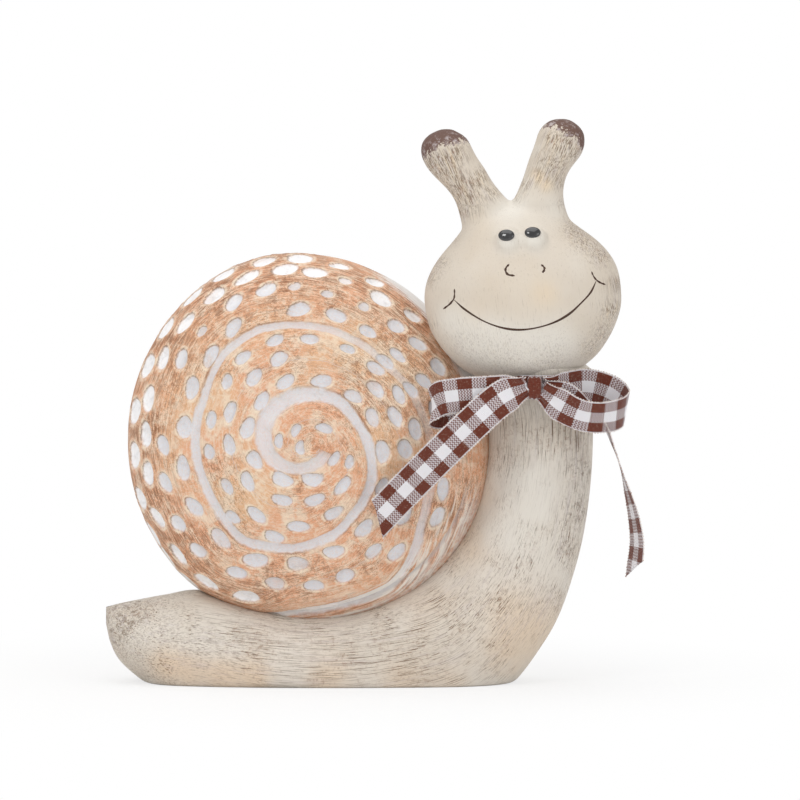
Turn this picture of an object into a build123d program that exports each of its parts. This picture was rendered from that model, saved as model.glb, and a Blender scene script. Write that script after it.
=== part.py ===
"""Snail figurine: hollow ceramic members luted together, with a gingham ribbon tied in a bow.

Millimetres. +Z is up, the face and the decorated side of the shell look towards -Y, and the
tail points to -X. The origin is on the flat underside of the foot, below the shell's axis.
"""

from build123d import *
from math import asin, atan2, cos, degrees, hypot, radians, sin, sqrt
import os

os.makedirs("parts", exist_ok=True)


# Driving sizes of the shell

shell_radius = 53.4
shell_thickness = 54.0
shell_rim_height = 17.7        # lowest point of the rim above the ground
shell_shoulder_share = 0.37    # radius of the rounded shoulder, of the thickness
shell_seat_depth = 3.0         # how far the rim sinks into the body
channel_width = 3.6
channel_depth = 0.9
dimple_length = 6.7
dimple_width = 4.5

# Driving sizes of the body

foot_height = 30.0             # full section before the underside is cut flat
foot_width = 42.0
neck_height_above_rim = 66.8   # lower edge of the ribbon band, above the shell's lowest point
neck_reach = 65.2              # from the shell's axis to the neck's
neck_width = 30.2
neck_depth = 30.0
neck_forward = 11.4            # the neck stands in front of the shell's middle plane
neck_lean_degrees = 16.0
neck_insert = 6.0              # the length of neck inside the head, above the band
wall = 4.0                     # thickness of the castings
vent_diameter = 14.0
vent_from_axis = 28.0          # in the underside, towards the tail from the shell's axis
slip_hole_diameter = 7.0

# Driving sizes of the head

head_width = 57.2
head_height = 53.0
head_depth = 41.0
head_roll_degrees = 7.2        # the head tips towards the shell
head_rise = 20.2               # head centre above the top of the ribbon band
head_forward = 3.4             # head centre in front of the neck's axis
head_side_step = 4.3           # head centre towards the shell from the neck's axis
antenna_length = 22.8          # root to the middle of the knob
antenna_radius = 4.9
antenna_lean_degrees = 20.5
knob_radius = 7.25
eye_radius = 4.1
eye_spacing = 6.7
eye_stand_out = 2.9
pupil_width = 4.8
pupil_height = 3.5
pupil_bead = 0.3

# Driving sizes of the ribbon

ribbon_width = 10.0
ribbon_thickness = 0.4
band_height = 7.5              # the strip is creased round the neck
ribbon_gap = 0.3               # clear of the ceramic and of its own other layers
knot_width = 4.2
knot_height = 7.0
knot_depth = 5.0
knot_side_step = 1.2           # towards the shell from the neck's axis
knot_drop = 3.5                # below the band's upper edge
gathered_width = 6.0           # the strip, pleated, where it enters the knot
loop_reach = 29.0
tail_reach = 58.0

cut_overrun = 5.0


# The shell's form: a crown arc that turns into a rounded shoulder at the rim

shell_centre = Vector(0, 0, shell_rim_height + shell_radius)
shoulder_radius = shell_thickness * shell_shoulder_share


class Dome:
    """Half section of the shell, drawn in by an inset from its outer skin."""

    def __init__(self, inset):
        self.radius = shell_radius - inset
        self.crown = shell_thickness / 2 - inset
        self.shoulder = shoulder_radius - inset
        self.shoulder_at = self.radius - self.shoulder
        self.crown_radius = (self.shoulder_at**2 + self.crown**2 - self.shoulder**2) / (
            2 * (self.crown - self.shoulder)
        )
        self.turn = atan2(self.shoulder_at, self.crown_radius - self.crown)

    def point(self, tilt):
        """Distance from the axis, and height over the middle plane, where the skin has this tilt."""
        if tilt <= self.turn:
            rise = self.crown - self.crown_radius * (1 - cos(tilt))
            return self.crown_radius * sin(tilt), rise
        return self.shoulder_at + self.shoulder * sin(tilt), self.shoulder * cos(tilt)

    def tilt_of_radius(self, radius):
        if radius <= self.crown_radius * sin(self.turn):
            return asin(radius / self.crown_radius)
        return asin(min(1, (radius - self.shoulder_at) / self.shoulder))

    def reach_of_tilt(self, tilt):
        """Way along the skin from the middle of the crown."""
        if tilt <= self.turn:
            return self.crown_radius * tilt
        return self.crown_radius * self.turn + self.shoulder * (tilt - self.turn)

    def tilt_of_reach(self, reach):
        if reach <= self.crown_radius * self.turn:
            return reach / self.crown_radius
        return self.turn + (reach - self.crown_radius * self.turn) / self.shoulder

    def height_at_radius(self, radius):
        """Height of the skin over the middle plane."""
        return self.point(self.tilt_of_radius(radius))[1]


skin = Dome(0)
floor_skin = Dome(channel_depth)
section_plane = Plane(shell_centre, x_dir=(1, 0, 0), z_dir=(0, 0, 1))
shell_axis = Axis(shell_centre, (0, 1, 0))


def dome_section(dome):
    """Edges of the dome's half section."""
    turn_x, turn_y = dome.point(dome.turn)
    mid_x, mid_y = dome.point(dome.turn / 2)
    edge_x, edge_y = dome.point((dome.turn + radians(90)) / 2)
    with BuildLine(Plane.XY) as outline:
        Line((0, dome.crown), (0, -dome.crown))
        ThreePointArc((0, -dome.crown), (mid_x, -mid_y), (turn_x, -turn_y))
        ThreePointArc((turn_x, -turn_y), (edge_x, -edge_y), (dome.radius, 0))
        ThreePointArc((dome.radius, 0), (edge_x, edge_y), (turn_x, turn_y))
        ThreePointArc((turn_x, turn_y), (mid_x, mid_y), (0, dome.crown))
    return outline.edges()


with BuildPart() as shell_form:
    with BuildSketch(section_plane):
        make_face(dome_section(skin))
    revolve(axis=shell_axis)

with BuildPart() as shell_core:
    with BuildSketch(section_plane):
        make_face(dome_section(floor_skin))
    revolve(axis=shell_axis)


# The spiral channel: its middle line in turns of 45 degrees, clockwise as seen from the front

channel_step_degrees = 45
channel_radius_shares = (
    0.080, 0.105, 0.180, 0.258, 0.287, 0.282, 0.272, 0.300, 0.405,
    0.540, 0.628, 0.640, 0.668, 0.642, 0.612, 0.650, 0.790, 0.910,
)  # fmt: skip
channel_start = channel_step_degrees
channel_end = channel_step_degrees * len(channel_radius_shares)


def channel_radius(angle):
    """Radius of the channel's middle line at an angle counted from its inner end's turn."""
    place = (angle - channel_start) / channel_step_degrees
    first = min(max(int(place), 0), len(channel_radius_shares) - 2)
    low, high = channel_radius_shares[first : first + 2]
    return shell_radius * (low + (high - low) * (place - first))


def front_point(angle, radius):
    """A place on a sketch that looks at the shell from the front."""
    return radius * cos(radians(angle)), -radius * sin(radians(angle))


def channel_edge(side):
    """Points along one edge of the channel; side is -1 for the inner edge and 1 for the outer."""
    angles = range(channel_start, channel_end + 1, channel_step_degrees)
    return [front_point(a, channel_radius(a) + side * channel_width / 2) for a in angles]


middle_plane = Plane(shell_centre, x_dir=(1, 0, 0), z_dir=(0, -1, 0))

with BuildPart() as channel:
    with BuildSketch(middle_plane):
        with BuildLine():
            outer_edge = Spline(*channel_edge(1))
            inner_edge = Spline(*channel_edge(-1))
            Line(outer_edge @ 0, inner_edge @ 0)
            Line(outer_edge @ 1, inner_edge @ 1)
        make_face()
    extrude(amount=shell_thickness)
    add(shell_core.part, mode=Mode.SUBTRACT)


# The pressed ovals, in rows that follow the whorls from the rim inwards. A row has the size of
# its ovals as a share, then each oval's turn in degrees, clockwise as seen from the front, and
# its share of the way along the skin from the middle of the crown to the rim.

dimple_sides = 6
pit_overrun_share = 0.3                   # the tool stands this much of its depth over the skin
pit_mouth_share = 1.12                    # the tool's top and floor, of the oval in the skin
pit_floor_share = 0.72
oval_row_shares = (
    (1.00, (
        (261, 0.817), (248, 0.818), (236, 0.817), (223, 0.810), (209, 0.799), (195, 0.791),
        (183, 0.776), (169, 0.774), (154, 0.805), (140, 0.810), (127, 0.808), (113, 0.768),
        (271, 0.802), (295, 0.771),
    )),
    (0.95, (
        (253, 0.719), (241, 0.722), (213, 0.706), (179, 0.678), (165, 0.690), (149, 0.705),
        (137, 0.696), (120, 0.666), (105, 0.650), (90, 0.640), (76, 0.610), (61, 0.550),
        (306, 0.691), (317, 0.692), (329, 0.695),
    )),
    (1.10, (
        (264, 0.610), (280, 0.602), (236, 0.625), (221, 0.602), (205, 0.598), (187, 0.582),
        (169, 0.593), (152, 0.600), (134, 0.583), (116, 0.575), (97, 0.541), (79, 0.489),
        (59, 0.438),
    )),
    (0.95, (
        (113, 0.444), (100, 0.367), (249, 0.407), (229, 0.395), (202, 0.394), (180, 0.369),
        (151, 0.330), (128, 0.394), (119, 0.277), (88, 0.242), (73, 0.316), (278, 0.289),
        (310, 0.285), (247, 0.306), (221, 0.300), (195, 0.298), (166, 0.265), (131, 0.202),
        (90, 0.152), (54, 0.223),
    )),
    (1.00, (
        (318, 0.382), (335, 0.294), (341, 0.392), (351, 0.466), (6, 0.312), (3, 0.411),
        (32, 0.366), (23, 0.460), (9, 0.532), (19, 0.624),
    )),
)  # fmt: skip


def oval_plane(turn, reach):
    """Plane on the skin of the shell's decorated side, its X along the whorl."""
    tilt = skin.tilt_of_reach(reach)
    radius, height = skin.point(tilt)
    outward = Vector(cos(radians(turn)), 0, -sin(radians(turn)))
    along = Vector(-sin(radians(turn)), 0, -cos(radians(turn)))
    forward = Vector(0, -1, 0)
    normal = outward * sin(tilt) + forward * cos(tilt)
    return Plane(shell_centre + outward * radius + forward * height, x_dir=along, z_dir=normal)


def oval_outline(size_share):
    """Corners of the faceted oval that stands for a pressed one."""
    turns = [radians(360 * (i + 0.5) / dimple_sides) for i in range(dimple_sides)]
    half_length, half_width = dimple_length * size_share / 2, dimple_width * size_share / 2
    return [(half_length * cos(t), half_width * sin(t)) for t in turns]


def make_pit(size_share):
    """The tool for one pressed oval: slanting sides down to a flat floor."""
    top = channel_depth * pit_overrun_share
    with BuildPart() as pit:
        with BuildSketch(Plane.XY.offset(top)):
            Polygon(*oval_outline(size_share * pit_mouth_share), align=None)
        with BuildSketch(Plane.XY.offset(-channel_depth)):
            Polygon(*oval_outline(size_share * pit_floor_share), align=None)
        loft(ruled=True)
    return pit.part


rim_reach = skin.reach_of_tilt(radians(90))


# The hollow inside the shell is a plain drum of many flat sides with coned ends

hollow_sides = 16
hollow_depth_shares = (-0.9, -0.42, 0.42, 0.9)     # of the crown's height inside the wall
hollow_radius_shares = (0.60, 1.0, 1.0, 0.60)

with BuildPart() as shell_hollow:
    for depth_share, radius_share in zip(hollow_depth_shares, hollow_radius_shares):
        place = shell_centre + Vector(0, (shell_thickness / 2 - wall) * depth_share, 0)
        with BuildSketch(Plane(place, x_dir=(1, 0, 0), z_dir=(0, 1, 0))):
            RegularPolygon((shell_radius - wall) * radius_share, hollow_sides)
    loft(ruled=True)

slip_hole_plane = Plane.XY.offset(shell_rim_height)

with BuildPart() as shell:
    add(shell_form.part)
    split(bisect_by=middle_plane, keep=Keep.TOP)
    add(channel.part, mode=Mode.SUBTRACT)
    for size_share, places in oval_row_shares:
        with Locations(*[oval_plane(turn, rim_reach * share) for turn, share in places]):
            add(make_pit(size_share), mode=Mode.SUBTRACT)
    mirror(about=middle_plane)
    add(shell_hollow.part, mode=Mode.SUBTRACT)
    with BuildSketch(slip_hole_plane):
        Circle(slip_hole_diameter / 2)
    extrude(amount=wall + cut_overrun, both=True, mode=Mode.SUBTRACT)
shell.part.label = "shell"
export_step(shell.part, "parts/shell.step")


# The body: sections that fan round the shell from the tail to the neck.
# Each has its inner point on a ray from the shell's axis and runs outward from there.

body_ray_degrees = (140.6, 140.2, 139.3, 137.1, 133.2, 126.4, 110.9, 90, 70, 50, 35, 22, 8, -6)
body_ray_shares = (
    1.455, 1.432, 1.386, 1.298, 1.175, 1.034, 0.96, 0.946, 0.946, 0.946, 0.946, 0.946, 0.946,
    0.960,
)  # fmt: skip
body_turn_degrees = (90, 90, 90, 90, 90, 90, 90, 90, 80, 66, 49, 33, 12, -3)
body_height_shares = (
    0.17, 0.36, 0.55, 0.75, 0.99, 1.12, 1.05, 0.98, 1.11, 1.42, 1.32, 1.16, 1.035, 1.005,
)  # fmt: skip
body_width_shares = (
    0.17, 0.34, 0.50, 0.66, 0.79, 0.90, 0.975, 1.0, 1.0, 0.95, 0.86, 0.79, 0.74, 0.72,
)  # fmt: skip
body_forward_shares = (0, 0, 0, 0, 0, 0, 0, 0, 0, 0, 0.10, 0.25, 0.50, 0.80)  # of neck_forward

neck_slope = sin(radians(neck_lean_degrees)) / cos(radians(neck_lean_degrees))
neck_foot = Vector(
    shell_centre.X + neck_reach, -neck_forward, shell_rim_height + neck_height_above_rim
)
neck_top = neck_foot + Vector(0, -neck_slope, 1) * band_height
neck_end = neck_top + Vector(0, -neck_slope, 1) * neck_insert


def body_sections(inset, seat):
    """Planes and half axes of the body's sections, drawn in by an inset; seat clears the shell."""
    rows = zip(
        body_ray_degrees,
        body_ray_shares,
        body_turn_degrees,
        body_height_shares,
        body_width_shares,
        body_forward_shares,
    )
    found = []
    for ray, ray_share, turn, height_share, width_share, forward_share in rows:
        reach = shell_radius * ray_share
        inner = shell_centre + Vector(cos(radians(ray)), 0, -sin(radians(ray))) * reach
        outward = Vector(cos(radians(turn)), 0, -sin(radians(turn)))
        height = foot_height * height_share
        centre = inner + outward * ((height + seat) / 2) - Vector(0, neck_forward * forward_share, 0)
        plane = Plane(centre, x_dir=outward, z_dir=outward.cross(Vector(0, 1, 0)))
        half_height = (height - seat) / 2 - inset
        found.append((plane, half_height, foot_width * width_share / 2 - inset))
    for centre in (neck_foot, neck_top, neck_end):
        plane = Plane(centre, x_dir=(1, 0, 0), z_dir=(0, 0, 1))
        found.append((plane, neck_width / 2 - inset, neck_depth / 2 - inset))
    return found


lining_sides = 12


def lining_outline(half_height, half_width):
    """Corners of a hollow's section: flat sides inside the ellipse of the wall's inner skin."""
    turns = [radians(360 * (i + 0.5) / lining_sides) for i in range(lining_sides)]
    return [(half_height * cos(t), half_width * sin(t)) for t in turns]


with BuildPart() as body_form:
    neck_first = len(body_ray_degrees)
    outer_sections = body_sections(0, 0)
    for part_sections, straight in (
        (outer_sections[: neck_first + 1], False),
        (outer_sections[neck_first:], True),
    ):
        for plane, half_height, half_width in part_sections:
            with BuildSketch(plane):
                Ellipse(half_height, half_width)
        loft(ruled=straight)
    split(bisect_by=Plane.XY, keep=Keep.TOP)

hollow_first_section = 4

with BuildPart() as body_hollow:
    for plane, half_height, half_width in body_sections(wall, shell_seat_depth)[
        hollow_first_section:
    ]:
        with BuildSketch(plane):
            Polygon(*lining_outline(half_height, half_width), align=None)
    loft(ruled=True)
    split(bisect_by=Plane.XY.offset(wall), keep=Keep.TOP)

with BuildPart() as body:
    add(body_form.part)
    add(shell_form.part, mode=Mode.SUBTRACT)
    add(body_hollow.part, mode=Mode.SUBTRACT)
    with BuildSketch(slip_hole_plane):
        Circle(slip_hole_diameter / 2)
    extrude(amount=wall + cut_overrun, both=True, mode=Mode.SUBTRACT)
    with BuildSketch(Plane.XY):
        with Locations((-vent_from_axis, 0)):
            Circle(vent_diameter / 2)
    extrude(amount=wall + cut_overrun, both=True, mode=Mode.SUBTRACT)
body.part.label = "body"
export_step(body.part, "parts/body.step")


# The head: broad at the cheeks, drawn in to the forehead, in its own rolled frame

head_centre = neck_top + Vector(-head_side_step, -head_forward, head_rise)
head_up = Vector(-sin(radians(head_roll_degrees)), 0, cos(radians(head_roll_degrees)))
head_right = Vector(cos(radians(head_roll_degrees)), 0, sin(radians(head_roll_degrees)))
head_rise_shares = (
    -0.470, -0.425, -0.340, -0.230, -0.110, 0.027, 0.153, 0.246, 0.322, 0.393, 0.460, 0.507, 0.53,
)  # fmt: skip
head_width_shares = (
    0.330, 0.500, 0.700, 0.850, 0.950, 1.000, 0.960, 0.855, 0.720, 0.600, 0.500, 0.360, 0.13,
)  # fmt: skip
eye_level_share = 0.322


def head_plane(rise_share):
    return Plane(head_centre + head_up * (head_height * rise_share), x_dir=head_right, z_dir=head_up)


with BuildPart() as head_form:
    for rise_share, width_share in zip(head_rise_shares, head_width_shares):
        with BuildSketch(head_plane(rise_share)):
            Ellipse(head_width * width_share / 2, head_depth * width_share / 2)
    loft()

head_hollow_shares = ((-0.36, 0.52), (-0.20, 0.80), (0.03, 1.0), (0.22, 0.84), (0.36, 0.50))

with BuildPart() as head_hollow:
    for rise_share, width_share in head_hollow_shares:
        half_width = head_width * width_share / 2 - wall
        half_depth = head_depth * width_share / 2 - wall
        with BuildSketch(head_plane(rise_share)):
            Polygon(*lining_outline(half_width, half_depth), align=None)
    loft(ruled=True)

with BuildPart() as head:
    add(head_form.part)
    add(body_form.part, mode=Mode.SUBTRACT)
    add(shell_form.part, mode=Mode.SUBTRACT)
    add(head_hollow.part, mode=Mode.SUBTRACT)
    with BuildSketch(Plane(neck_end, x_dir=(1, 0, 0), z_dir=(0, 0, 1))):
        Circle(slip_hole_diameter / 2)
    extrude(amount=wall + cut_overrun, mode=Mode.SUBTRACT)
head.part.label = "head"
export_step(head.part, "parts/head.step")


# The antennae: stalks that swell into round knobs

antenna_root_share = 0.150      # of the head's width, to each side of its middle
antenna_rise_share = 0.434      # of the head's height, above its centre
stalk_along_shares = (-0.10, 0.12, 0.34, 0.56, 0.78, 1.0)
stalk_radius_shares = (1.32, 1.12, 1.0, 1.04, 1.28, 1.48)
stalk_inward_shares = (0.0, 0.10, 0.22, 0.30, 0.18, 0.0)


def make_antenna(side):
    """One antenna; side is -1 for the left one and 1 for the right one, as seen from the front."""
    lean = radians(antenna_lean_degrees) * side
    axis = head_up * cos(lean) + head_right * sin(lean)
    across = head_right * cos(lean) - head_up * sin(lean)
    root = (
        head_centre
        + head_right * (head_width * antenna_root_share * side)
        + head_up * (head_height * antenna_rise_share)
    )
    knob_centre = root + axis * antenna_length
    with BuildPart() as antenna:
        for along, radius_share, inward in zip(
            stalk_along_shares, stalk_radius_shares, stalk_inward_shares
        ):
            step_in = across * (-side * antenna_radius * inward)
            middle = root + axis * (antenna_length * along) + step_in
            radius = knob_radius if along == 1 else antenna_radius * radius_share
            with BuildSketch(Plane(middle, x_dir=across, z_dir=axis)):
                Circle(radius)
        loft()
        with Locations(Plane(knob_centre, x_dir=across, z_dir=axis)):
            Sphere(knob_radius)
        add(head_form.part, mode=Mode.SUBTRACT)
    return antenna.part


antenna_left = make_antenna(-1)
antenna_left.label = "antenna_left"
export_step(antenna_left, "parts/antenna_left.step")
antenna_right = make_antenna(1)
antenna_right.label = "antenna_right"
export_step(antenna_right, "parts/antenna_right.step")


# The eyes: two raised beads that meet in the middle, each with a thin domed pupil

eye_width_share = 0.720         # the head's width share at the eyes' level
eyes_aside_share = 0.025        # the pair stands a little to the right of the head's middle
pupil_aside_shares = {-1: -0.24, 1: -0.03}
pupil_rise_shares = {-1: 0.39, 1: 0.48}
pupil_sides = 12


def eye_centre(side):
    aside = head_width * eyes_aside_share + side * eye_spacing / 2
    half_width = head_width * eye_width_share / 2
    half_depth = head_depth * eye_width_share / 2
    front = half_depth * sqrt(1 - (aside / half_width) ** 2)
    level = head_centre + head_up * (head_height * eye_level_share)
    return level + head_right * aside - Vector(0, front + eye_stand_out - eye_radius, 0)


def make_eye(side):
    middle = (eye_centre(-1) + eye_centre(1)) / 2
    with BuildPart() as eye:
        with Locations(eye_centre(side)):
            Sphere(eye_radius)
        split(bisect_by=Plane(middle, z_dir=head_right * side), keep=Keep.TOP)
        add(head_form.part, mode=Mode.SUBTRACT)
    return eye.part


def make_pupil(side):
    centre = eye_centre(side)
    pupil_centre = (
        centre
        + head_right * (eye_radius * pupil_aside_shares[side])
        + head_up * (eye_radius * pupil_rise_shares[side])
    )
    with BuildPart() as pupil:
        with BuildSketch(Plane(pupil_centre, x_dir=head_right, z_dir=(0, -1, 0))):
            turns = [radians(360 * (i + 0.5) / pupil_sides) for i in range(pupil_sides)]
            outline = [(pupil_width / 2 * cos(t), pupil_height / 2 * sin(t)) for t in turns]
            Polygon(*outline, align=None)
        extrude(amount=eye_radius + pupil_bead)
        with Locations(centre):
            Sphere(eye_radius + pupil_bead, mode=Mode.INTERSECT)
            Sphere(eye_radius, mode=Mode.SUBTRACT)
        add(head_form.part, mode=Mode.SUBTRACT)
    return pupil.part


for side, side_name in ((-1, "left"), (1, "right")):
    eye = make_eye(side)
    eye.label = f"eye_{side_name}"
    export_step(eye, f"parts/eye_{side_name}.step")
    pupil = make_pupil(side)
    pupil.label = f"pupil_{side_name}"
    export_step(pupil, f"parts/pupil_{side_name}.step")


# The ribbon round the neck, under the chin

band_sides = 24
band_outer = ribbon_gap + ribbon_thickness


def band_outline(clearance):
    """Corners of a many-sided ring whose flats clear the neck."""
    turns = [radians(360 * (i + 0.5) / band_sides) for i in range(band_sides)]
    flat_share = 1 / cos(radians(180 / band_sides))
    half_width = (neck_width / 2 + clearance) * flat_share
    half_depth = (neck_depth / 2 + clearance) * flat_share
    return [(half_width * cos(t), half_depth * sin(t)) for t in turns]


with BuildPart() as ribbon_band:
    for clearance, mode in ((band_outer, Mode.ADD), (ribbon_gap, Mode.SUBTRACT)):
        for centre in (neck_foot, neck_top):
            with BuildSketch(Plane(centre, x_dir=(1, 0, 0), z_dir=(0, 0, 1))):
                Polygon(*band_outline(clearance), align=None)
        loft(ruled=True, mode=mode)
    add(head_form.part, mode=Mode.SUBTRACT)
    add(shell_form.part, mode=Mode.SUBTRACT)
ribbon_band.part.label = "ribbon_band"
export_step(ribbon_band.part, "parts/ribbon_band.step")


# The knot, in front of the band's upper edge

knot_stand_off = neck_depth / 2 + band_outer + ribbon_gap + knot_depth / 2
knot_centre = neck_top - Vector(knot_side_step, knot_stand_off, knot_drop)

with BuildPart() as ribbon_knot:
    with Locations(knot_centre):
        Box(knot_width, knot_depth, knot_height)
    fillet(ribbon_knot.edges().filter_by(Axis.X), knot_depth * 0.32)
ribbon_knot.part.label = "ribbon_knot"
export_step(ribbon_knot.part, "parts/ribbon_knot.step")


# The bow: strips that leave the knot's side faces flat against it.
# Each station is a place from the knot's side face, sideways, backward and upward, and a twist.

strip_start_share = gathered_width / ribbon_width
strip_growth_shares = (strip_start_share, 0.90)      # width of the first stations, then full

loop_right_shares = (
    (0.00, 0.05, 0.00), (0.19, 0.11, -0.03), (0.44, 0.26, -0.01), (0.67, 0.35, -0.08),
    (0.83, 0.30, -0.17), (0.90, 0.16, -0.25), (0.81, -0.01, -0.29), (0.59, -0.11, -0.32),
    (0.39, -0.14, -0.28), (0.19, -0.11, -0.17), (0.00, -0.05, -0.03),
)  # fmt: skip
loop_left_shares = (
    (0.00, 0.035, -0.01), (0.37, 0.17, -0.13), (0.69, 0.25, -0.25), (0.87, 0.22, -0.30),
    (0.94, 0.13, -0.25), (0.87, 0.03, -0.16), (0.70, -0.05, -0.11), (0.47, -0.08, -0.08),
    (0.22, -0.06, -0.05), (0.00, -0.015, 0.00),
)  # fmt: skip
tail_left_shares = (
    (0.00, -0.028, 0.01), (0.13, -0.070, -0.045), (0.28, -0.085, -0.165), (0.43, -0.05, -0.31),
    (0.58, 0.02, -0.47), (0.74, 0.07, -0.65),
)  # fmt: skip
tail_right_shares = (
    (0.00, 0.000, -0.01), (0.095, 0.00, -0.05), (0.22, 0.02, -0.13), (0.315, 0.05, -0.21),
    (0.36, 0.08, -0.31), (0.395, 0.10, -0.41), (0.43, 0.10, -0.535), (0.46, 0.09, -0.66),
    (0.475, 0.08, -0.785), (0.455, 0.08, -0.91),
)  # fmt: skip
tail_right_twist_degrees = (0, 0, 10, 45, 80, 88, 84, 76, 68, 64)


def strip_place(side, shares, reach):
    """A place beside the knot, kept in front of the shell's skin."""
    sideways, backward, upward = shares
    x = knot_centre.X + side * (knot_width / 2 + sideways * reach)
    z = knot_centre.Z + upward * reach
    radius = hypot(x - shell_centre.X, z - shell_centre.Z)
    over_shell = radius < shell_radius
    nearest = max(min(radius, shell_radius) - ribbon_width / 2, 0)
    clear = skin.height_at_radius(nearest) + ribbon_gap + ribbon_thickness
    y = knot_centre.Y + backward * reach
    return Vector(x, min(y, -clear) if over_shell else y, z)


def make_strip(side, share_rows, reach, twists, closed):
    """A strip lofted through its sections; a closed one stands on edge and comes back to the knot."""
    places = [strip_place(side, shares, reach) for shares in share_rows]
    last = len(places) - 1
    up, back = Vector(0, 0, 1), Vector(0, 1, 0)
    with BuildPart() as strip:
        for i, place in enumerate(places):
            if i == 0:
                along = Vector(side, 0, 0)
            elif i == last and closed:
                along = Vector(-side, 0, 0)
            else:
                along = (places[min(i + 1, last)] - places[i - 1]).normalized()
            if closed:
                level = up - along * along.dot(up)
            else:
                level = back.cross(along)
            across = level.normalized().rotate(Axis((0, 0, 0), along), twists[i])
            from_knot = min(i, last - i) if closed else i
            growth = strip_growth_shares[from_knot] if from_knot < len(strip_growth_shares) else 1
            with BuildSketch(Plane(place, x_dir=across, z_dir=along)):
                Rectangle(ribbon_width * growth, ribbon_thickness)
        loft(ruled=True)
    return strip.part


for strip_name, side, share_rows, reach, twists, closed in (
    ("ribbon_loop_left", -1, loop_left_shares, loop_reach, [0] * len(loop_left_shares), True),
    ("ribbon_loop_right", 1, loop_right_shares, loop_reach, [0] * len(loop_right_shares), True),
    ("ribbon_tail_left", -1, tail_left_shares, tail_reach, [0] * len(tail_left_shares), False),
    ("ribbon_tail_right", 1, tail_right_shares, tail_reach, tail_right_twist_degrees, False),
):
    strip = make_strip(side, share_rows, reach, twists, closed)
    strip.label = strip_name
    export_step(strip, f"parts/{strip_name}.step")
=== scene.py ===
"""Ceramic snail with a gingham bow: the hand-painted looks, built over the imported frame.

Tables whose names end in PX hold places and lengths as measured on the photograph, in pixels.
Other lengths are millimetres, which turn into metres when a mesh is made, unless a comment says
metres. X runs from tail to head, Z is up, and the face looks towards -Y. An angle round the
shell is in degrees, clockwise as seen from the front, from the side of the head.
"""

from math import atan2, ceil, cos, degrees, hypot, pi, radians, sin

import bpy
import numpy as np
from bpy.props import FloatProperty, FloatVectorProperty, IntProperty, PointerProperty
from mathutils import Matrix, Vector
from mathutils.bvhtree import BVHTree


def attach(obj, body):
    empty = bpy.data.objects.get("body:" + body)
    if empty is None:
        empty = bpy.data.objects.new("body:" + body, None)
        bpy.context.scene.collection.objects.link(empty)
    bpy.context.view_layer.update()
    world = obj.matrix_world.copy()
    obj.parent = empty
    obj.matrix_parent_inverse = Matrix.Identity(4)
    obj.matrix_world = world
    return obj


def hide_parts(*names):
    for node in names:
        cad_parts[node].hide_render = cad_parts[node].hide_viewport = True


bl_info = {
    "name": "Ceramic Snail with Gingham Bow",
    "version": (1, 0, 0),
    "blender": (4, 5, 0),
    "location": "3D View > Sidebar > Snail",
    "description": "Builds a painted ceramic snail figurine with a ribbon bow",
    "category": "Object",
}

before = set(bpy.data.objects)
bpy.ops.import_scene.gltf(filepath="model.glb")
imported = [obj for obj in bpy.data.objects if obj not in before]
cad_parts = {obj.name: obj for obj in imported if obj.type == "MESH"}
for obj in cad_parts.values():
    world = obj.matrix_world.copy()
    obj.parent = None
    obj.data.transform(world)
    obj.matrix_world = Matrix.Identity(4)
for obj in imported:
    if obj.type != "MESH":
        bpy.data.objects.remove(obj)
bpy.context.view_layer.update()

MM = 0.001

# How the photograph looks at the object

PIXEL = 0.29                    # millimetres on the object for one pixel
AXIS_PX = (313.0, 682.0)        # the shell's axis across, and the ground line
CAMERA_RISE = 5.0               # degrees above level
CAMERA_DISTANCE = 6000.0
IMAGE_PX = 800.0


def photo_place(px, py, depth=0.0):
    """Across and up on the object, for a pixel of the photograph at a depth along Y."""
    across = (px - AXIS_PX[0]) * PIXEL
    rise = (AXIS_PX[1] - py) * PIXEL
    return across, (rise - sin(radians(CAMERA_RISE)) * depth) / cos(radians(CAMERA_RISE))


# Shader sums


class Wire:
    """An output of a material's node that takes part in sums."""

    def __init__(self, paint, socket):
        self.paint, self.socket = paint, socket

    def sum(self, operation, *others):
        """One step of arithmetic that starts from this output."""
        return self.paint.node("ShaderNodeMath", {"operation": operation}, self, *others)

    def __add__(self, other):
        return self.sum("ADD", other)

    def __sub__(self, other):
        return self.sum("SUBTRACT", other)

    def __mul__(self, other):
        return self.sum("MULTIPLY", other)

    def __truediv__(self, other):
        return self.sum("DIVIDE", other)

    def __mod__(self, other):
        return self.sum("MODULO", other)

    def __rsub__(self, other):
        return (self * -1.0) + other

    __radd__, __rmul__ = __add__, __mul__

    def floor(self):
        return self.sum("FLOOR")

    def size(self):
        return self.sum("ABSOLUTE")

    def least(self, other):
        return self.sum("MINIMUM", other)

    def between(self, low, high):
        """0 below low, 1 above high, and a smooth slope from one to the other."""
        names = {"interpolation_type": "SMOOTHSTEP"}
        return self.paint.node("ShaderNodeMapRange", names, self, low, high, 0.0, 1.0)

    def until(self, low, high):
        """1 below low, 0 above high, and a smooth slope from one to the other."""
        return 1.0 - self.between(low, high)

    def beyond_half(self, gain):
        """A noise's distance from its middle value, times a gain."""
        return (self - 0.5) * gain

    def hairline(self, value, low, high):
        """1 where a noise passes through a value, and 0 away from it."""
        return (self - value).size().until(low, high)


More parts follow.
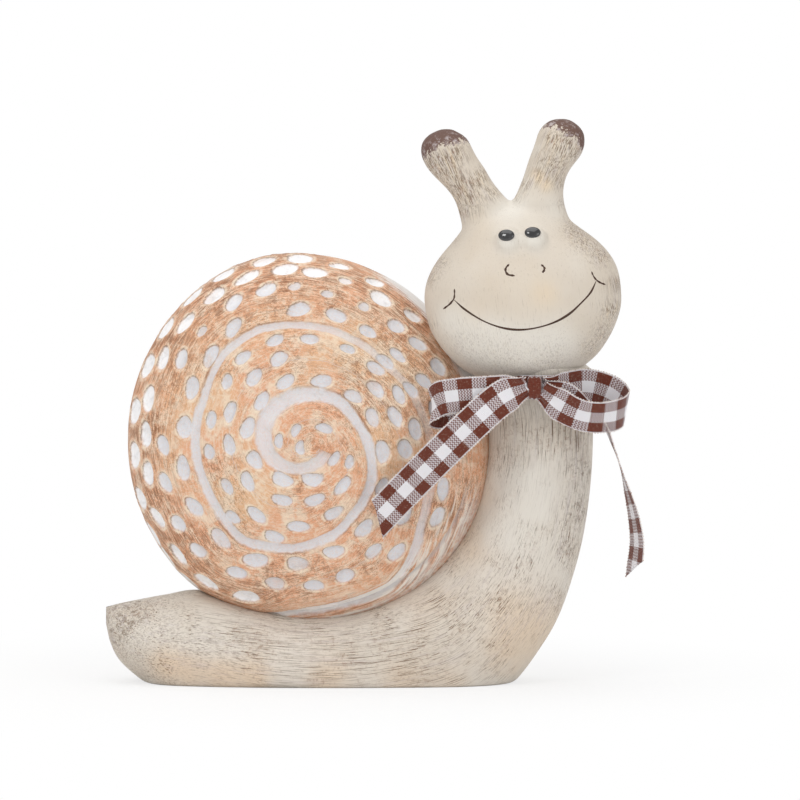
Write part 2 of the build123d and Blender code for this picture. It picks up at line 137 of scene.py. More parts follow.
class Paint:
    """A material under construction, with its own small set of brushes."""

    def __init__(self, name):
        self.material = bpy.data.materials.new(name)
        self.material.use_nodes = True
        self.tree = self.material.node_tree
        self.tree.nodes.clear()

    def node(self, kind, settings=None, *values, out=0, **named):
        """A new node with its settings, and its inputs in order or by name."""
        node = self.tree.nodes.new(kind)
        for key, value in (settings or {}).items():
            setattr(node, key, value)
        for socket, value in [*zip(node.inputs, values), *((node.inputs[k], v) for k, v in named.items())]:
            self.feed(socket, value)
        return Wire(self, node.outputs[out])

    def feed(self, socket, value):
        """Links an input to an output, or sets it to a value."""
        if isinstance(value, Wire):
            self.tree.links.new(value.socket, socket)
        elif value is not None:
            socket.default_value = (*value, 1.0) if socket.type == "RGBA" and len(value) == 3 else value

    def attribute(self, name):
        """A number that the mesh stores for each point."""
        return self.node("ShaderNodeAttribute", {"attribute_name": name}, out="Fac")

    def vector(self, name):
        """A vector that the mesh stores for each point."""
        return self.node("ShaderNodeAttribute", {"attribute_name": name}, out="Vector")

    def place(self):
        """The piece's own coordinates, in metres."""
        return self.node("ShaderNodeTexCoord", out="Object")

    def stretch(self, vector, factors):
        """A place scaled part by part, which draws a noise out."""
        return self.node("ShaderNodeVectorMath", {"operation": "MULTIPLY"}, vector, factors)

    def noise(self, vector, scale, detail=2.0, roughness=0.5):
        """Soft random values about one half."""
        named = {"Vector": vector, "Scale": scale, "Detail": detail, "Roughness": roughness}
        return self.node("ShaderNodeTexNoise", None, **named)

    def mix(self, factor, first, second):
        """Colours blended by a factor."""
        node = self.tree.nodes.new("ShaderNodeMix")
        node.data_type = "RGBA"
        node.clamp_factor = True
        for socket, value in ((0, factor), (6, first), (7, second)):
            self.feed(node.inputs[socket], value)
        return Wire(self, node.outputs[2])

    def layers(self, coat, *layers):
        """Paints brushed over a coat in turn, each as (share, name of the paint or its colour)."""
        for share, name in layers:
            coat = self.mix(share, coat, paint_of(name) if isinstance(name, str) else name)
        return coat

    def bump(self, height, distance, strength=1.0):
        """A normal that follows a height."""
        named = {"Height": height, "Distance": distance, "Strength": strength}
        return self.node("ShaderNodeBump", None, **named)

    def finish(self, **sockets):
        """Ends the material in one Principled shader."""
        shader = self.tree.nodes.new("ShaderNodeBsdfPrincipled")
        for key, value in sockets.items():
            self.feed(shader.inputs[key.replace("_", " ")], value)
        output = self.tree.nodes.new("ShaderNodeOutputMaterial")
        self.tree.links.new(shader.outputs[0], output.inputs[0])
        return self.material


def colour(red, green, blue):
    """A colour written as a painter's 0 to 255 values, in the linear light that shaders use."""
    return tuple(((v / 255 + 0.055) / 1.055) ** 2.4 if v > 10 else v / 3294 for v in (red, green, blue))


# Meshes from arrays


def ramp(value, low, high):
    """0 at low, 1 at high, and a smooth slope from one to the other."""
    t = np.clip((value - low) / (high - low), 0, 1)
    return t * t * (3 - 2 * t)


def unit(vectors):
    """Each row scaled to a length of 1."""
    return vectors / np.linalg.norm(vectors, axis=1)[:, None]


def travel_along(path):
    """Distance along a path from its start to each of its points."""
    return np.concatenate([[0], np.cumsum(np.linalg.norm(np.diff(path, axis=0), axis=1))])


def full_turn(count):
    """Even angles once round."""
    return np.arange(count) * 2 * pi / count


def bulged(values, power):
    """A sine or cosine pushed outward by a power below 1, with its sign kept."""
    return np.sign(values) * np.abs(values) ** power


def smooth_through(rows, count):
    """Rows of values joined by a smooth curve through them, and read at count even places."""
    rows = np.asarray(rows, float)
    at = np.linspace(0, len(rows) - 1, count)
    low = np.clip(at.astype(int), 0, len(rows) - 2)
    part = (at - low)[:, None]
    before, after = rows[np.maximum(low - 1, 0)], rows[np.minimum(low + 2, len(rows) - 1)]
    first, second = rows[low], rows[low + 1]
    before = np.where((low == 0)[:, None], 2 * first - second, before)
    after = np.where((low == len(rows) - 2)[:, None], 2 * second - first, after)
    slope_a, slope_b = (second - before) / 2, (after - first) / 2
    cube, square = part**3, part**2
    return (
        (2 * cube - 3 * square + 1) * first
        + (cube - 2 * square + part) * slope_a
        + (3 * square - 2 * cube) * second
        + (cube - square) * slope_b
    )


def rings_to_faces(rings, columns):
    """Quads between closed rings, and triangles to the two poles whose points come last."""
    faces = loop_to_faces(rings, columns)[: (rings - 1) * columns]
    first, last, start = rings * columns, rings * columns + 1, (rings - 1) * columns
    for j in range(columns):
        k = (j + 1) % columns
        faces.append((first, k, j))
        faces.append((last, start + j, start + k))
    return faces


def loop_to_faces(rows, columns):
    """Quads of a closed band: rings that join up again at the end."""
    faces = []
    for i in range(rows):
        for j in range(columns):
            n, k = (i + 1) % rows, (j + 1) % columns
            faces.append((i * columns + j, i * columns + k, n * columns + k, n * columns + j))
    return faces


def turned_outward(points, faces):
    """The faces, reversed where they enclose a negative volume."""
    points = np.asarray(points, float)
    volume = 0.0
    for size in {len(face) for face in faces}:
        corners = np.array([face for face in faces if len(face) == size])
        for k in range(1, size - 1):
            a, b, c = points[corners[:, 0]], points[corners[:, k]], points[corners[:, k + 1]]
            volume += np.einsum("ij,ij->i", a, np.cross(b, c)).sum()
    return faces if volume > 0 else [tuple(reversed(face)) for face in faces]


def add_values(mesh, **values):
    """Stores one value or vector for each point of a mesh, for its material to read."""
    for name, data in values.items():
        data = np.asarray(data, np.float32)
        kind, key = ("FLOAT_VECTOR", "vector") if data.ndim == 2 else ("FLOAT", "value")
        layer = mesh.attributes.get(name) or mesh.attributes.new(name, kind, "POINT")
        layer.data.foreach_set(key, data.ravel())


def add_object(name, data):
    """A new object in the scene, made of a mesh, a curve, a lamp or a camera."""
    holder = bpy.data.objects.new(name, data)
    bpy.context.scene.collection.objects.link(holder)
    return holder


def make_piece(name, points, faces, **values):
    """A smooth piece from points in millimetres, at the origin of the frame."""
    mesh = bpy.data.meshes.new(name)
    points = np.asarray(points, float)
    mesh.from_pydata((points * MM).tolist(), [], turned_outward(points, faces))
    add_values(mesh, **values)
    mesh.polygons.foreach_set("use_smooth", [True] * len(mesh.polygons))
    mesh.update()
    return add_object(name, mesh)


def points_of(piece):
    """A piece's points in millimetres."""
    points = np.empty(len(piece.data.vertices) * 3)
    piece.data.vertices.foreach_get("co", points)
    return points.reshape(-1, 3) / MM


def put_points(piece, points):
    """Moves a piece's points to places in millimetres."""
    piece.data.vertices.foreach_set("co", (points * MM).ravel())
    piece.data.update()


def made_plain(piece):
    """The piece with its modifiers applied to its mesh."""
    graph = bpy.context.evaluated_depsgraph_get()
    mesh = bpy.data.meshes.new_from_object(piece.evaluated_get(graph))
    old = piece.data
    piece.modifiers.clear()
    piece.data = mesh
    bpy.data.meshes.remove(old)
    mesh.name = piece.name
    return piece


def work_in(piece, operation, helper):
    """Adds a helper form to a piece, or takes it away."""
    join = piece.modifiers.new("join", "BOOLEAN")
    join.operation, join.object, join.solver = operation, helper, "EXACT"


def hand_over(piece, slot, material, *nodes):
    """Gives a finished piece its material, its body and the nodes that it stands for."""
    piece.data.materials.clear()
    piece.data.materials.append(material)
    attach(piece, "root")
    if nodes:
        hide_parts(*nodes)


def spots(px, py, places):
    """Soft blots at pixels of the photograph: places are (across, down, radius, strength)."""
    total = np.zeros_like(px)
    for x, y, radius, strength in places:
        total += strength * np.exp(-((px - x) ** 2 + (py - y) ** 2) / (2 * radius**2))
    return total


# Sizes and paints that a user would change


class ShellSizes(bpy.types.PropertyGroup):
    radius: FloatProperty(name="Radius", description="Shell's radius, in mm", default=53.4)
    thickness: FloatProperty(name="Thickness", description="Across the two crowns, in mm", default=54.0)
    rim_height: FloatProperty(name="Rim height", description="Lowest rim above the ground, in mm", default=17.7)
    shoulder_share: FloatProperty(
        name="Shoulder", description="Shoulder radius as a share of the thickness", default=0.37
    )
    band_depth: FloatProperty(name="Channel depth", description="Depth of the spiral channel, in mm", default=0.8)
    oval_depth: FloatProperty(name="Oval depth", description="Depth of the pressed ovals, in mm", default=0.95)
    oval_length: FloatProperty(name="Oval length", description="Length of a full-size oval, in mm", default=6.7)
    oval_width: FloatProperty(name="Oval width", description="Width of a full-size oval, in mm", default=3.95)
    whorl_swell: FloatProperty(name="Whorl swell", description="Rise of a whorl between channels, in mm", default=0.8)
    spokes: IntProperty(name="Spokes", description="Columns of faces round the shell", default=520)
    seed: IntProperty(name="Seed", description="Seed for the ovals' unevenness", default=7)


class BodySizes(bpy.types.PropertyGroup):
    foot_height: FloatProperty(name="Foot height", description="Full section of the foot, in mm", default=30.0)
    foot_width: FloatProperty(name="Foot width", description="Across the foot, in mm", default=42.0)
    edge_softness: FloatProperty(name="Foot edge", description="Rounding of the underside's edge, in mm", default=1.4)
    vent_diameter: FloatProperty(name="Vent", description="Hole in the underside, in mm", default=14.0)
    rings: IntProperty(name="Rings", description="Rows of faces along the body", default=300)
    columns: IntProperty(name="Columns", description="Columns of faces round the body", default=220)


class HeadSizes(bpy.types.PropertyGroup):
    width: FloatProperty(name="Width", description="Across the cheeks, in mm", default=57.2)
    depth: FloatProperty(name="Depth", description="Front to back, in mm", default=40.7)
    roll: FloatProperty(name="Roll", description="Tip towards the shell, in degrees", default=7.2)
    knob_radius: FloatProperty(name="Knob", description="Radius of an antenna's knob, in mm", default=7.25)
    eye_radius: FloatProperty(name="Eye", description="Radius of an eye's bead, in mm", default=4.1)
    fineness: FloatProperty(name="Fineness", description="Size of the head's faces, in mm", default=0.5)


class RibbonSizes(bpy.types.PropertyGroup):
    width: FloatProperty(name="Width", description="Ribbon's width, in mm", default=10.0)
    thickness: FloatProperty(name="Thickness", description="Ribbon's thickness, in mm", default=0.4)
    check: FloatProperty(name="Check", description="Length of one check along the ribbon, in mm", default=4.13)
    thread: FloatProperty(name="Thread", description="From one thread to the next, in mm", default=0.43)
    picot: FloatProperty(name="Picot", description="From one edge loop to the next, in mm", default=0.86)


def paint_property(label, text, value):
    """A colour that a user would change."""
    return FloatVectorProperty(name=label, description=text, subtype="COLOR", size=3, min=0, max=1, default=value)


class Paints(bpy.types.PropertyGroup):
    cream: paint_property("Cream", "Wash on the body and head", colour(221, 214, 203))
    sand: paint_property("Sand", "Darker patches of the wash", colour(208, 196, 180))
    # Milk also serves as painted light on the eye beads and under the head.
    milk: paint_property("Milk", "Whitest wash on the chest, forehead and eyes", colour(232, 229, 221))
    stroke: paint_property("Stroke", "Brown brush strokes", colour(106, 84, 62))
    blush: paint_property("Blush", "Warm tint on the face and foot", colour(228, 205, 172))
    # Mauve is a cool tint in patches; beside the shell's fold it is painted shade under the lip.
    mauve: paint_property("Mauve", "Cool tint near edges", colour(200, 190, 190))
    peach: paint_property("Peach", "Ground of the shell", colour(224, 166, 130))
    amber: paint_property("Amber", "Yellow patches on the shell", colour(222, 184, 144))
    straw: paint_property("Straw", "Pale strokes on the shell", colour(236, 219, 196))
    umber: paint_property("Umber", "Brown dry brushing on the shell", colour(142, 98, 68))
    chalk: paint_property("Chalk", "White of the ovals and the channel", colour(220, 222, 227))
    # Shade is painted shadow: the dark line on the oval walls that face away from the light.
    shade: paint_property("Shade", "Dark line along the ovals' edges", colour(96, 84, 66))
    # Painted shade: grey in the chalk of the recesses and along the lip's fold.
    recess_shade: paint_property("Slate", "Grey shade in the recesses", colour(172, 170, 174))
    cap: paint_property("Cap", "Worn brown of the antennae's knobs", colour(92, 60, 50))
    ink: paint_property("Ink", "Lines of the face", colour(70, 49, 39))
    check_dark: paint_property("Brown thread", "Dark thread of the gingham", colour(102, 44, 27))
    check_pale: paint_property("White thread", "Pale thread of the gingham", colour(232, 230, 234))


SIZE_GROUPS = {
    "snail_shell": ShellSizes,
    "snail_body": BodySizes,
    "snail_head": HeadSizes,
    "snail_ribbon": RibbonSizes,
    "snail_paints": Paints,
}


def paint_of(name):
    """One of the scene's paints."""
    return tuple(getattr(bpy.context.scene.snail_paints, name))


CERAMIC_SHINE = 0.35            # share of the usual mirror light, on the fired clay


# The shell's form


class Dome:
    """Half section of the shell: a crown arc that turns into the rounded shoulder."""

    def __init__(self, sizes):
        self.radius = sizes.radius
        self.crown = sizes.thickness / 2
        self.shoulder = sizes.thickness * sizes.shoulder_share
        self.at = self.radius - self.shoulder
        self.arc = (self.at**2 + self.crown**2 - self.shoulder**2) / (2 * (self.crown - self.shoulder))
        self.turn = atan2(self.at, self.arc - self.crown)
        self.turn_reach = self.arc * self.turn
        self.rim_reach = self.turn_reach + self.shoulder * (pi / 2 - self.turn)

    def section(self, reach):
        """Distance from the axis, height over the middle plane and tilt, along the skin."""
        reach = np.asarray(reach, float)
        crown = reach <= self.turn_reach
        tilt = np.where(crown, reach / self.arc, self.turn + (reach - self.turn_reach) / self.shoulder)
        radius = np.where(crown, self.arc * np.sin(tilt), self.at + self.shoulder * np.sin(tilt))
        height = np.where(crown, self.crown - self.arc * (1 - np.cos(tilt)), self.shoulder * np.cos(tilt))
        return radius, height, tilt

    def reach_at(self, radius):
        """Way along the skin from the crown to a distance from the axis."""
        steps = np.linspace(0, self.rim_reach, 600)
        return np.interp(radius, self.section(steps)[0], steps)

    def of_pixel(self, px, py, centre_height):
        """Angle and reach of the place on the front skin that a pixel shows."""
        depth = -self.crown
        for _ in range(6):
            across, up = photo_place(px, py, depth)
            radius = min(hypot(across, up - centre_height), self.radius * 0.999)
            reach = float(self.reach_at(radius))
            depth = -float(self.section(reach)[1])
        return degrees(atan2(centre_height - up, across)) % 360, reach


# Middle line of the channel, from the middle outwards
CHANNEL_PX = (
    (327, 452), (322, 458), (311, 465), (299, 468.5), (287, 467), (276, 461), (268, 451), (264, 437),
    (265, 424), (272, 411), (284, 402), (297, 396), (311, 394), (326, 396), (338, 401), (348, 410),
    (357, 422), (364, 433), (369, 446), (372, 461), (372.5, 475), (369, 490), (362, 504), (352.5, 516),
    (336, 533), (320, 541), (293.5, 548), (267, 545), (246, 539), (231, 525), (218, 507), (207, 486),
    (199, 465), (195.5, 439), (198, 418), (205, 397), (212, 376), (225, 355), (241, 342), (262, 331),
    (283, 327), (307, 325.5), (330, 328), (351, 335), (369, 344), (382, 355), (393, 366), (409, 382),
    (419, 400), (428, 424), (432, 450), (431, 478), (426.6, 503), (421, 525), (414, 550), (404, 570),
    (390, 585), (370, 595), (350, 602), (330, 607), (308, 610), (288, 612), (268, 613), (250, 612),
)  # fmt: skip

# The channel's width and strength, by its angle, which runs on past a full turn
CHANNEL_WIDTHS = (
    (0, 3.0), (100, 4.2), (210, 5.0), (280, 4.3), (330, 3.4), (420, 3.2), (540, 2.7), (630, 2.2), (720, 3.0),
    (800, 3.8), (860, 2.2),
)  # fmt: skip
CHANNEL_STRENGTHS = (
    (0, 0.0), (45, 0.8), (330, 1.0), (560, 0.95), (620, 0.85), (660, 0.6), (700, 0.3), (735, 0.25), (760, 0.85),
    (800, 1.0), (850, 0.8), (880, 0.0),
)  # fmt: skip

# Middle line of the lip's fold, from its upper right end
FOLD_PX = (
    (470, 478), (462, 503), (454, 520), (444, 537), (425, 560), (401, 581), (380, 594), (350, 605),
    (320, 612), (290, 613), (260, 609),
)  # fmt: skip

# The pressed ovals that the photograph shows, as (size, paint, places of their middles)
OVAL_ROWS_PX = (
    (1.16, 1.6, ((300, 259), (265, 265), (226, 278), (194, 298), (168, 330), (149, 366), (136, 411),
                 (136, 455), (143, 498), (155, 533), (168, 556), (191, 577))),
    (0.95, 1.0, ((340, 264), (377, 277))),
    (1.12, 1.0, ((286, 272), (249, 282), (217, 299), (188, 325), (165, 359), (150, 399), (147, 434),
                (150, 473), (160, 516), (182, 551), (210, 577), (248, 593), (315, 272), (384, 293))),
    (0.62, 0.7, ((346, 278), (328, 292), (366, 302), (295, 288), (204, 333))),
    (0.95, 1.0, ((268, 293), (236, 306), (183, 360), (164, 445), (167, 482), (181, 522), (202, 547),
                 (239, 569), (276, 581), (314, 584), (345, 574), (373, 550), (396, 551), (401, 320),
                 (423, 339), (443, 364), (455, 392), (418, 309))),
    (1.04, 1.0, ((299, 310), (337, 313), (235, 330), (212, 357), (193, 388), (185, 427), (184, 468),
                 (196, 506), (223, 536), (257, 558), (298, 563), (334, 551), (364, 528))),
    (0.9, 0.85, ((370, 327), (402, 351), (428, 379), (389, 358), (414, 388), (401, 394), (437, 410))),
    (0.78, 1.0, ((276, 342), (310, 339), (244, 359), (212, 420), (210, 452), (228, 486), (234, 516),
                 (349, 347), (228, 382))),
    (0.95, 1.0, ((275, 536), (299, 526), (280, 360), (255, 378), (231, 412), (230, 445), (248, 481),
                 (258, 514), (283, 500), (315, 500), (334, 513), (322, 381), (354, 396), (378, 366),
                 (286, 382), (262, 401), (248, 428), (255, 460), (283, 480), (313, 480), (343, 486))),
    (1.0, 1.0, ((377, 388), (373, 417), (396, 416), (416, 429), (383, 452), (405, 449), (383, 488),
                (408, 484), (430, 462), (443, 489), (437, 517), (404, 515))),
    (0.72, 0.9, ((279, 441), (335, 459), (325, 428), (300, 448), (296, 430), (350, 462))),
)  # fmt: skip

# Worn places of the shell. A blot is (across, down, radius, strength).
SHELL_WEAR_PX = (
    (405, 345, 26, 0.7), (440, 400, 22, 0.8), (365, 305, 22, 0.5), (145, 430, 16, 0.9), (150, 490, 16, 0.9),
    (165, 340, 16, 0.7), (230, 290, 22, 0.6), (360, 380, 14, 0.6), (290, 262, 18, 0.7), (180, 545, 20, 0.7),
    (430, 520, 22, 0.7), (455, 500, 14, 0.6), (250, 590, 24, 0.4), (360, 410, 10, 0.5),
)  # fmt: skip

# How far the outline stands out from a circle, and where the collar starts from the axis, by angle
SWELL_DEGREES = (0, 60, 90, 110, 131, 150, 180, 210, 230, 245, 258, 270, 281, 290, 309, 340, 360)
SWELL_MM = (0, 0.6, 0.4, 0.9, 1.9, 0.8, 0.1, 0.3, 0.9, 1.3, 0.9, -0.3, -1.1, -1.9, -2.9, -1.5, 0)
COLLAR_DEGREES = (0, 270, 285, 296, 304, 316, 330, 345, 360)
COLLAR_PX = (190, 190, 184, 175, 170, 166, 162, 163, 190)
FAR_OVAL, FAR_FOLD = 9.0, 30.0  # what the skin says where no oval and no fold is near


def lines_on_shell(dome, centre_height, pixels):
    """Angles that run on past a full turn, and reaches, of a line drawn on the front skin."""
    places = np.array([dome.of_pixel(px, py, centre_height) for px, py in pixels])
    angles = degrees(1) * np.unwrap(np.radians(places[:, 0]))
    return angles, places[:, 1]


def shell_ovals(sizes, dome, centre_height):
    """Every oval as (angle, reach, half length, half width, turn, paint) on the whole skin."""
    dice = np.random.default_rng(sizes.seed)
    half_length, half_width = sizes.oval_length / 2, sizes.oval_width / 2
    rim_widening, rim_gap = 1.45, 0.7
    ovals = []
    for size, paint, pixels in OVAL_ROWS_PX:
        on_rim = paint > 1
        for px, py in pixels:
            angle, reach = dome.of_pixel(px, py, centre_height)
            long = half_length * size * dice.uniform(0.93, 1.07)
            wide = half_width * size * dice.uniform(0.9, 1.1) * (rim_widening if on_rim else 1)
            turn = dice.uniform(-6, 6) if on_rim else 8 + dice.uniform(-13, 13)
            reach = min(reach, dome.rim_reach - wide - rim_gap)
            ovals.append((angle, reach, long, wide, turn, min(paint, 1)))
    return ovals + [(a, 2 * dome.rim_reach - s, long, wide, -turn, paint) for a, s, long, wide, turn, paint in ovals]


def nearest_channel(dome, centre_height, angle, reach):
    """Way from the channel's middle, the channel's strength and width, and the share of the whorl."""
    line_angles, line_reaches = lines_on_shell(dome, centre_height, CHANNEL_PX)
    past_rim = dome.rim_reach * 1.15
    line_angles = np.append(line_angles, line_angles[-1] + 50)
    line_reaches = np.append(line_reaches, past_rim)
    offset, strength, width = np.full(reach.shape, np.inf), np.zeros(reach.shape), np.full(reach.shape, 4.0)
    inner, outer = np.zeros(reach.shape), np.full(reach.shape, past_rim)
    for turns in range(-1, 4):
        at = angle + 360 * turns + reach * 0
        line = np.interp(at, line_angles, line_reaches, left=0, right=np.inf)
        apart = reach - line
        nearer = np.abs(apart) < np.abs(offset)
        offset = np.where(nearer, apart, offset)
        strength = np.where(nearer, np.interp(at, *zip(*CHANNEL_STRENGTHS), left=0, right=0), strength)
        width = np.where(nearer, np.interp(at, *zip(*CHANNEL_WIDTHS)), width)
        inner = np.where((line <= reach) & (line > inner), line, inner)
        outer = np.where((line > reach) & (line < outer), line, outer)
    offset = np.where(np.isfinite(offset), offset, 40)
    return offset, strength, width, (reach - inner) / np.maximum(outer - inner, 1)


def nearest_oval(sizes, dome, centre_height, angle, along, radius):
    """Way from the nearest oval's middle in its own radii, its paint, and how its edge meets the light."""
    dice = np.random.default_rng(sizes.seed + 1)
    oval, paint, lit = np.full(radius.shape, FAR_OVAL), np.zeros(radius.shape), np.zeros(radius.shape)
    arc = np.radians(1) * np.maximum(radius, 1)
    side = np.radians(angle)
    for spot_angle, spot_reach, long, wide, turn, strong in shell_ovals(sizes, dome, centre_height):
        beside = ((angle - spot_angle + 180) % 360 - 180) * arc
        outward = along - spot_reach
        c, s = cos(radians(turn)), sin(radians(turn))
        p, q = (beside * c + outward * s) / long, (outward * c - beside * s) / wide
        bearing = np.arctan2(q, p)
        first, second = dice.uniform(0, 6, 2)
        uneven = 1 + 0.045 * np.sin(2 * bearing + first) + 0.035 * np.sin(3 * bearing + second)
        radii = np.hypot(p, q) * uneven
        nearer = radii < oval
        oval = np.where(nearer, radii, oval)
        paint = np.where(nearer, strong, paint)
        up = outward * np.cos(side) - beside * np.sin(side)
        left = beside * np.cos(side) + outward * np.sin(side)
        lit = np.where(nearer, -(0.6 * up + 0.8 * left) / np.maximum(np.hypot(beside, outward), 0.3), lit)
    return oval, paint, lit


def build_shell(sizes):
    """The shell's skin: whorls, channel and ovals pressed into the dome, front and back alike."""
    dome = Dome(sizes)
    centre_height = sizes.rim_height + sizes.radius
    rim, end = dome.rim_reach, 2 * dome.rim_reach
    front_rows, back_rows = 142, 48
    along = np.concatenate([np.linspace(0, rim, front_rows)[1:], np.linspace(rim, end, back_rows)[1:-1]])[:, None]
    angle = (np.arange(sizes.spokes) * 360 / sizes.spokes)[None, :]
    reach = np.minimum(along, end - along) + angle * 0
    front = np.where(along <= rim, -1.0, 1.0)
    radius, height, tilt = dome.section(reach)
    offset, strength, width, whorl = nearest_channel(dome, centre_height, angle, reach)
    oval, paint, lit = nearest_oval(sizes, dome, centre_height, angle, along, radius)

    fold_angle, fold_reach = lines_on_shell(dome, centre_height, FOLD_PX)
    order = np.argsort(fold_angle)
    fold_line = np.interp(angle, fold_angle[order], fold_reach[order], left=np.nan, right=np.nan)
    fold = np.where(np.isnan(fold_line + reach * 0), FAR_FOLD, reach - fold_line)
    fold_fade = np.clip(np.minimum(angle - fold_angle.min(), fold_angle.max() - angle) / 14, 0, 1)

    half = width / 2
    swell = sizes.whorl_swell * np.sin(pi * np.clip(whorl, 0, 1)) ** 0.8
    pressed = sizes.oval_depth * ramp(oval, 1.08, 0.72) * (0.45 + 0.55 * paint)
    pressed *= 1 - 0.75 * ramp(reach, rim - 9, rim - 1)
    pressed *= 1 - 0.6 * strength * ramp(np.abs(offset), half, half * 0.6)
    oval_lip = 0.16 * np.exp(-(((oval - 1.2) / 0.13) ** 2))
    groove = sizes.band_depth * strength * ramp(np.abs(offset), half * 1.15, half * 0.7)
    fold_dip = 0.6 * fold_fade * ramp(np.abs(fold), 1.3, 0.2)
    skin_drop, middle_drop = 0.45, 0.4
    lift = (swell - pressed + oval_lip - groove - fold_dip - skin_drop) * ramp(along, end, end - 6)
    lift -= middle_drop * ramp(reach, 30, 0)

    turn = np.radians(angle)
    outline = np.interp(angle, SWELL_DEGREES, SWELL_MM) * ramp(radius, 15, dome.radius)
    out = radius + outline + lift * np.sin(tilt)
    skin = [out * np.cos(turn), front * (height + lift * np.cos(tilt)), centre_height - out * np.sin(turn)]
    crown = dome.crown - skin_drop - middle_drop
    poles = [[0, -crown, centre_height], [0, crown, centre_height]]
    points = np.concatenate([np.stack(skin, axis=-1).reshape(-1, 3), poles])

    def whole(values, poles=0.0):
        """One value for each point of the skin, and the same one for its two poles."""
        return np.append((values + reach * 0).ravel(), (poles, poles))

    collar = np.interp(angle, COLLAR_DEGREES, COLLAR_PX) * PIXEL - out + ramp(along, rim, along.max()) * 9
    stroke_run, stroke_gap = 7, 0.55
    brush = [radius * np.cos(turn) / stroke_run, radius * np.sin(turn) / stroke_run, offset / stroke_gap]
    return make_piece(
        "painted_shell", points, rings_to_faces(len(along), sizes.spokes),
        brush=np.stack([whole(part) for part in brush], axis=-1), rim=whole(radius / dome.radius),
        oval=whole(oval, FAR_OVAL), oval_paint=whole(paint), oval_lit=whole(lit),
        band=whole(offset / half, FAR_OVAL), band_strength=whole(strength),
        fold=whole(fold, FAR_FOLD), fold_strength=whole(fold_fade), collar=whole(collar, 40),
        worn=np.clip(spots(*seen_at(points), SHELL_WEAR_PX), 0, 1),
    )


